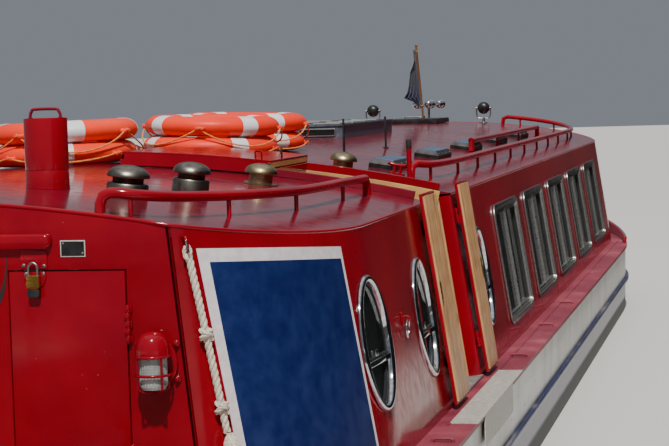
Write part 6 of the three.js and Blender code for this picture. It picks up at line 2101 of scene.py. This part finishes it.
def stud(parts, x, y):
    at = Matrix.Translation((x, y, DECK_Z))
    parts.turned(crimson_trim, [(0.062, -0.006), (0.062, 0.006), (0.036, 0.010), (0.032, 0.020),
                                (0.032, 0.150), (0.036, 0.156), (0.036, 0.164), (0.028, 0.170)], at, 40)
    bar = at @ Matrix.Translation((0, 0, 0.130)) @ Matrix.Rotation(pi / 2, 4, "Y")
    parts.turned(crimson_trim, [(0.014, -0.090), (0.020, -0.084), (0.020, 0.084), (0.014, 0.090)], bar, 28)


aft = Parts().add(*deck_shape(eased(AFT_DECK_FORE, STERN - LIP, 40), lambda y: -hull_x(y, DECK_Z, -LIP)),
                  deck_paint)
aft_plate = cut(mesh_piece("aft_deck_plate", aft.points, aft.faces, deck_paint, 30), [stock_hole])
settle(aft_plate, BOAT, ["aft_deck"])
fittings = Parts()
for x in (1.08, -1.08):
    stud(fittings, x, -7.42)
collar = Matrix.Translation((0, STOCK_Y, DECK_Z))
fittings.turned(crimson_trim, [(0.050, 0.0), (0.058, 0.0), (0.058, 0.008), (0.046, 0.018), (0.0262, 0.018),
                               (0.0262, 0.0)], collar, 40)
for x in (-0.46, 0.46):
    lid = Matrix.Translation((x, -7.18, DECK_Z))
    fittings.plate(deck_paint, round_rect(0.42, 0.30, 0.03), -0.001, 0.006, lid, (), 0.002)
    fittings.plate(brass, oval(0.030, 0.030, 24), 0.006, 0.011, lid @ Matrix.Translation((0, 0.2, 0)),
                   [oval(0.022, 0.022, 24)], 0.001)
cap = Matrix.Translation((1.35, -7.05, DECK_Z))
fittings.turned(brass, [(0.040, -0.002), (0.040, 0.005), (0.034, 0.008), (0.012, 0.008), (0.012, 0.004),
                        (0.004, 0.004)], cap, 32)
fittings.piece("aft_deck_fittings", BOAT, "deck_red", 35)
fore = Parts().add(*deck_shape(eased(FORE_DECK_AFT, BOW + LIP, 46), lambda y: -hull_x(y, DECK_Z, -LIP)),
                   deck_paint)
stud(fore, 0, 7.35)
for x in (-0.34, 0.34):
    fore.plate(deck_paint, round_rect(0.31, 0.26, 0.03), -0.001, 0.006,
               Matrix.Translation((x, 6.75, DECK_Z)), (), 0.002)
fore.piece("fore_deck_plate", BOAT, "deck_red", 30, ["fore_deck"])
for side, hand, cleats in (("starboard", 1, (-5.29, -2.78, -1.45, -0.25)),
                           ("port", -1, (-5.29, -2.78, -0.25))):
    deck = Parts()
    points, faces = deck_shape([SIDE_DECK_AFT + SIDE_DECK_LONG * k / 90 for k in range(91)],
                               lambda y: side_x(y, DECK_Z) - 0.058)
    deck.add([(hand * p[0], p[1], p[2]) for p in points], faces, deck_paint)
    edge = [Vector((hand * 1.885, y, DECK_Z - 0.001)) for y in (-4.9, 5.2)]
    deck.tube(deck_paint, edge, 0.0075, 12, hint=(1, 0, 0))
    for y in cleats:
        loop = [(-0.044, -0.004), (-0.040, 0.010), (-0.030, 0.0145), (0.030, 0.0145), (0.040, 0.010),
                (0.044, -0.004)]
        deck.tube(deck_paint, [(hand * 1.925 + u, y, DECK_Z + v) for u, v in loop], 0.0075, 12,
                  hint=(0, 1, 0))
    deck.piece("side_deck_plate_" + side, BOAT, "deck_red", 30, ["side_deck_" + side])
print("decks laid")

# %% [markdown]
# ## Bow bulwark and treads
# A bulwark rises to the stem under a round capping. By the doorway a ribbed tread wraps the deck's edge.

# %% Bulwark
BULWARK_AFT, BULWARK_RUN = 4.700, 3.5
round_bow = []
for k in range(-52, 53):
    turn = pi / 2 * (1 - abs(k) / 52)
    y = BULWARK_AFT + (BOW - 0.003 - BULWARK_AFT) * sin(turn)
    round_bow.append((math.copysign(1, k) * hull_x(y, DECK_Z, -0.010), y))
outer, inner, crown = [], [], []
for i, (x, y) in enumerate(round_bow):
    (xa, ya), (xb, yb) = round_bow[max(i - 1, 0)], round_bow[min(i + 1, len(round_bow) - 1)]
    away = Vector((ya - yb, xb - xa, 0)).normalized()
    rise = 0.040 + 0.290 * max(0, (y - BULWARK_AFT) / BULWARK_RUN) ** 1.6
    at = Vector((x, y, DECK_Z))
    outer.append([at, at + Vector((0, 0, rise))])
    inner.append([p - away * 0.024 * math.copysign(1, away.dot(Vector((x, y - 4.0, 0))))
                  for p in outer[-1]])
    crown.append((outer[-1][1] + inner[-1][1]) / 2)
bulwark = Parts().add(*slab_shape(outer, inner), crimson)
bulwark.tube(crimson_trim, crown, 0.016, 16, hint=(0, 0, 1))
bulwark.piece("bow_bulwark_plate", BOAT, "cabin_red", 35, ["bow_bulwark"])
TREAD_TOP, TREAD_FACE = 1.1545, 2.0055
tread = Parts()
tread.box(tread_alloy, (1.882, -4.850, DECK_Z), (2.007, -3.290, TREAD_TOP))
tread.box(tread_alloy, (2.0005, -4.630, 1.010), (TREAD_FACE, -3.680, 1.1535))
ribs = [Matrix.Translation((1.888 + 0.0105 * k, -4.07, TREAD_TOP)) for k in range(12)]
tread.add(*repeated("slat", ribs, tread_alloy, Size=(0.005, 1.556, 0.003)), tread_alloy)
ribs = [Matrix.Translation((TREAD_FACE, -4.155, 1.016 + 0.0098 * k)) for k in range(14)]
tread.add(*repeated("slat", ribs, tread_alloy, Size=(0.003, 0.946, 0.0048)), tread_alloy)
tread.piece("tread_ribbed", BOAT, "aluminium", 30, ["tread_plate"])
print("bow and treads done")

# %% [markdown]
# ## Inside the cabin
# Boards lie over the bottom and a bench runs along each side. The photograph doesn't show them, so
# they are plain.

# %% Floor and benches
FLOOR_LOW, FLOOR_TOP, BENCH_LOW = 0.1305, 0.152, 0.1525
floor_boards = Parts()
for k in range(-12, 13):
    x, fore_end = 0.152 * k, 5.740
    while hull_x(fore_end, 0.15, 0.055) < abs(x) + 0.080:
        fore_end -= 0.02
    if hull_x(0, 0.15, 0.055) > abs(x) + 0.076:
        floor_boards.plate(boards, rect(x - 0.0752, x + 0.0752, -4.99, fore_end), FLOOR_LOW,
                           FLOOR_TOP, Matrix(), (), 0.002)
floor_boards.piece("cabin_floor_boards", BOAT, "floor_wood", 35, ["cabin_floor"])


def cushion(name, centre, half):
    """A crowned pad: its sides pull in between the corners and its under face is flat."""
    rows = []
    for level in range(9):
        up = level / 8
        swell = 1 - 0.10 * abs(2 * up - 1) ** 3
        line = round_rect(half[0] * swell, half[1] * swell, 0.035, 6)
        rows.append([Vector((centre[0] + x, centre[1] + y * (1 - 0.02 * (1 - (x / half[0]) ** 2)),
                             centre[2] + half[2] * up)) for x, y in line])
    for shrink in (0.8, 0.55, 0.25):
        rows.append([Vector((centre[0] + (p.x - centre[0]) * shrink, centre[1] + (p.y - centre[1]) * shrink,
                             centre[2] + half[2] * (1 + 0.16 * (1 - shrink)))) for p in rows[8]])
    pad = Parts().add(*capped(rows, False), bench_cloth).piece(name, BOAT, "bench_cloth", 60)


BENCH_AFT, BENCH_FORE = -2.40, 4.30
for hand, side in SIDES:
    bench = Parts()
    ends = sorted((hand * 1.250, hand * 1.780))
    bench.box(pine_along, (ends[0] + 0.02, BENCH_AFT + 0.02, BENCH_LOW),
              (ends[1] - 0.02, BENCH_FORE - 0.02, 0.500))
    bench.box(boards, (ends[0], BENCH_AFT, 0.500), (ends[1], BENCH_FORE, 0.525))
    for k in range(8):
        y = -2.38 + 0.9515 * k
        bench.box(boards, (ends[0] + 0.012, y - 0.02, BENCH_LOW), (ends[1] - 0.012, y + 0.02, 0.498))
    back = sorted((hand * 1.712, hand * 1.776))
    bench.box(boards, (back[0] + 0.028, BENCH_AFT, 0.520), (back[1], BENCH_FORE, 1.120))
    bench.piece("bench_frame_" + side, BOAT, "bench_cloth", 35, ["bench_" + side], 0.003)
    for k in range(7):
        cushion("bench_pad_%s_%d" % (side, k + 1), (hand * 1.478, -1.924 + 0.955 * k, 0.5252),
                (0.222, 0.470, 0.070))
print("benches fitted")

# %% [markdown]
# ## Engine, steering and propeller
# The engine stands under the aft deck. The rudder and the swan-necked tiller turn on one stock.

# %% Engine
engine = Parts()
for x in (-0.25, 0.25):
    engine.box(bottom_black, (x - 0.03, -6.88, FLOOR_LOW), (x + 0.03, -5.92, 0.30))
for half, y0, y1, low, top, finish in ((0.20, -6.55, -5.98, 0.30, 0.68, engine_paint),
                                       (0.15, -6.50, -6.03, 0.68, 0.80, engine_paint),
                                       (0.09, -6.48, -6.05, 0.80, 0.87, black_paint)):
    engine.box(finish, (-half, y0, low), (half, y1, top))
along = placed((0, -6.55, 0.46), pi / 2)
engine.turned(engine_paint, [(0.19, -0.01), (0.20, 0.0), (0.20, 0.08), (0.15, 0.12), (0.12, 0.30),
                             (0.06, 0.33)], along, 40)
pulley = placed((0, -5.98, 0.42), -pi / 2)
engine.turned(black_paint, [(0.04, -0.02), (0.09, 0.0), (0.08, 0.012), (0.09, 0.025), (0.04, 0.03)], pulley,
              32)
charger = placed((0.25, -6.1, 0.62), pi / 2)
engine.turned(aluminium, [(0.03, -0.02), (0.062, 0.0), (0.062, 0.12), (0.03, 0.14)], charger, 28)
for k in range(4):
    foot = (0.14, -6.42 + 0.11 * k, 0.79)
    engine.tube(steel, smooth_path([foot, (0.19, foot[1], 0.80), (0.215, foot[1] + 0.02, 0.70),
                                    (0.20, foot[1] + 0.02, 0.60)], 14), 0.006, 8)
engine.tube(black_rubber, smooth_path([(-0.19, -6.40, 0.62), (-0.27, -6.35, 0.66), (-0.28, -6.10, 0.70),
                                       (-0.20, -6.02, 0.66)], 24), 0.026, 14)
engine.piece("engine_block", BOAT, "engine_iron", 35, ["engine"], 0.006)

# %% Rudder and tiller
upright = Matrix.Translation((0, STOCK_Y, 0))
rudder = Parts().turned(steel, [(0.022, 0.0225), (0.025, 0.026), (0.025, 1.212)], upright, 40)
blade = frame_at((0, STOCK_Y, 0), (0, 1, 0), (0, 0, 1))
outline = [(-0.300, 0.110), (-0.285, 0.075), (-0.255, 0.062), (0.070, 0.062), (0.088, 0.078),
           (0.090, 0.446), (0.074, 0.462), (-0.210, 0.462), (-0.270, 0.440), (-0.296, 0.390)]
rudder.plate(bottom_black, outline, -0.012, 0.012, blade, (), 0.004)
rudder.piece("rudder_blade", "steering", "bottom_black", 35, ["rudder"])
NECK = [(0, -7.860, 1.216), (0, -7.860, 1.290), (0, -7.866, 1.330), (0, -7.960, 1.560),
        (0, -7.990, 1.800), (0, -7.900, 2.010), (0, -7.720, 2.090)]
tiller = Parts().tube(steel, smooth_path(NECK, 60), [0.021] * 49 + [0.0205] * 12, 24, hint=(1, 0, 0))
tiller.turned(steel, [(0.030, 1.2122), (0.034, 1.216), (0.034, 1.284), (0.028, 1.290)], upright, 40)
reach = Vector((0, -7.020, 2.118)) - Vector((0, -7.740, 2.086))
grip = Matrix.Translation((0, -7.740, 2.086)) @ reach.to_track_quat("Z", "Y").to_matrix().to_4x4()
tiller.turned(brass, [(0.020, 0.0), (0.024, 0.003), (0.024, 0.062), (0.022, 0.065)], grip, 32)
tiller.turned(staff_wood, [(0.019, 0.064), (0.0215, 0.10), (0.0205, 0.30), (0.0215, 0.46), (0.0235, 0.58),
                           (0.0225, 0.66), (0.018, 0.690)], grip, 32)
tiller.turned(brass, [(0.014, 0.686), (0.020, 0.692), (0.021, 0.704), (0.014, 0.716), (0.005, 0.7205)],
              grip, 28)
tiller.piece("tiller_swan_neck", "steering", "bare_steel", 40, ["tiller"])

# %% Propeller
BLADE_ROOT, BLADE_LONG, BLADE_MIDDLE = 0.030, 0.154, 0.101
screw = Parts()
along = placed((0, -7.563, SHAFT_Z), pi / 2)
screw.turned(bronze, [(0.0215, -0.079), (0.0215, -0.002), (0.036, 0.0), (0.038, 0.010), (0.038, 0.050),
                      (0.030, 0.078), (0.012, 0.087)], along, 40)
for k in range(3):
    turn = placed((0, -7.6065, SHAFT_Z), 2 * pi * k / 3, "Y")
    front, back = [], []
    for i in range(15):
        high = BLADE_ROOT + BLADE_LONG * i / 14
        half = 0.078 * sqrt(max(0.02, 1 - ((high - BLADE_MIDDLE) / 0.0845) ** 2))
        pitch = 0.42 + 0.30 * (BLADE_MIDDLE - high) / 0.1
        rows = ([], [])
        for j in range(11):
            u = -1 + j / 5
            thick = 0.0055 * (1 - u * u) * (1.1 - i / 20) + 0.0008
            for row, side in zip(rows, (1, -1)):
                row.append(turn @ Vector((half * u * cos(pitch) - side * thick * sin(pitch),
                                          half * u * sin(pitch) + side * thick * cos(pitch), high)))
        front.append(rows[0])
        back.append(rows[1])
    screw.add(*slab_shape(front, back), bronze)
screw.piece("propeller_blades", "screw", "bronze", 40, ["propeller"])
print("engine, steering and propeller done")
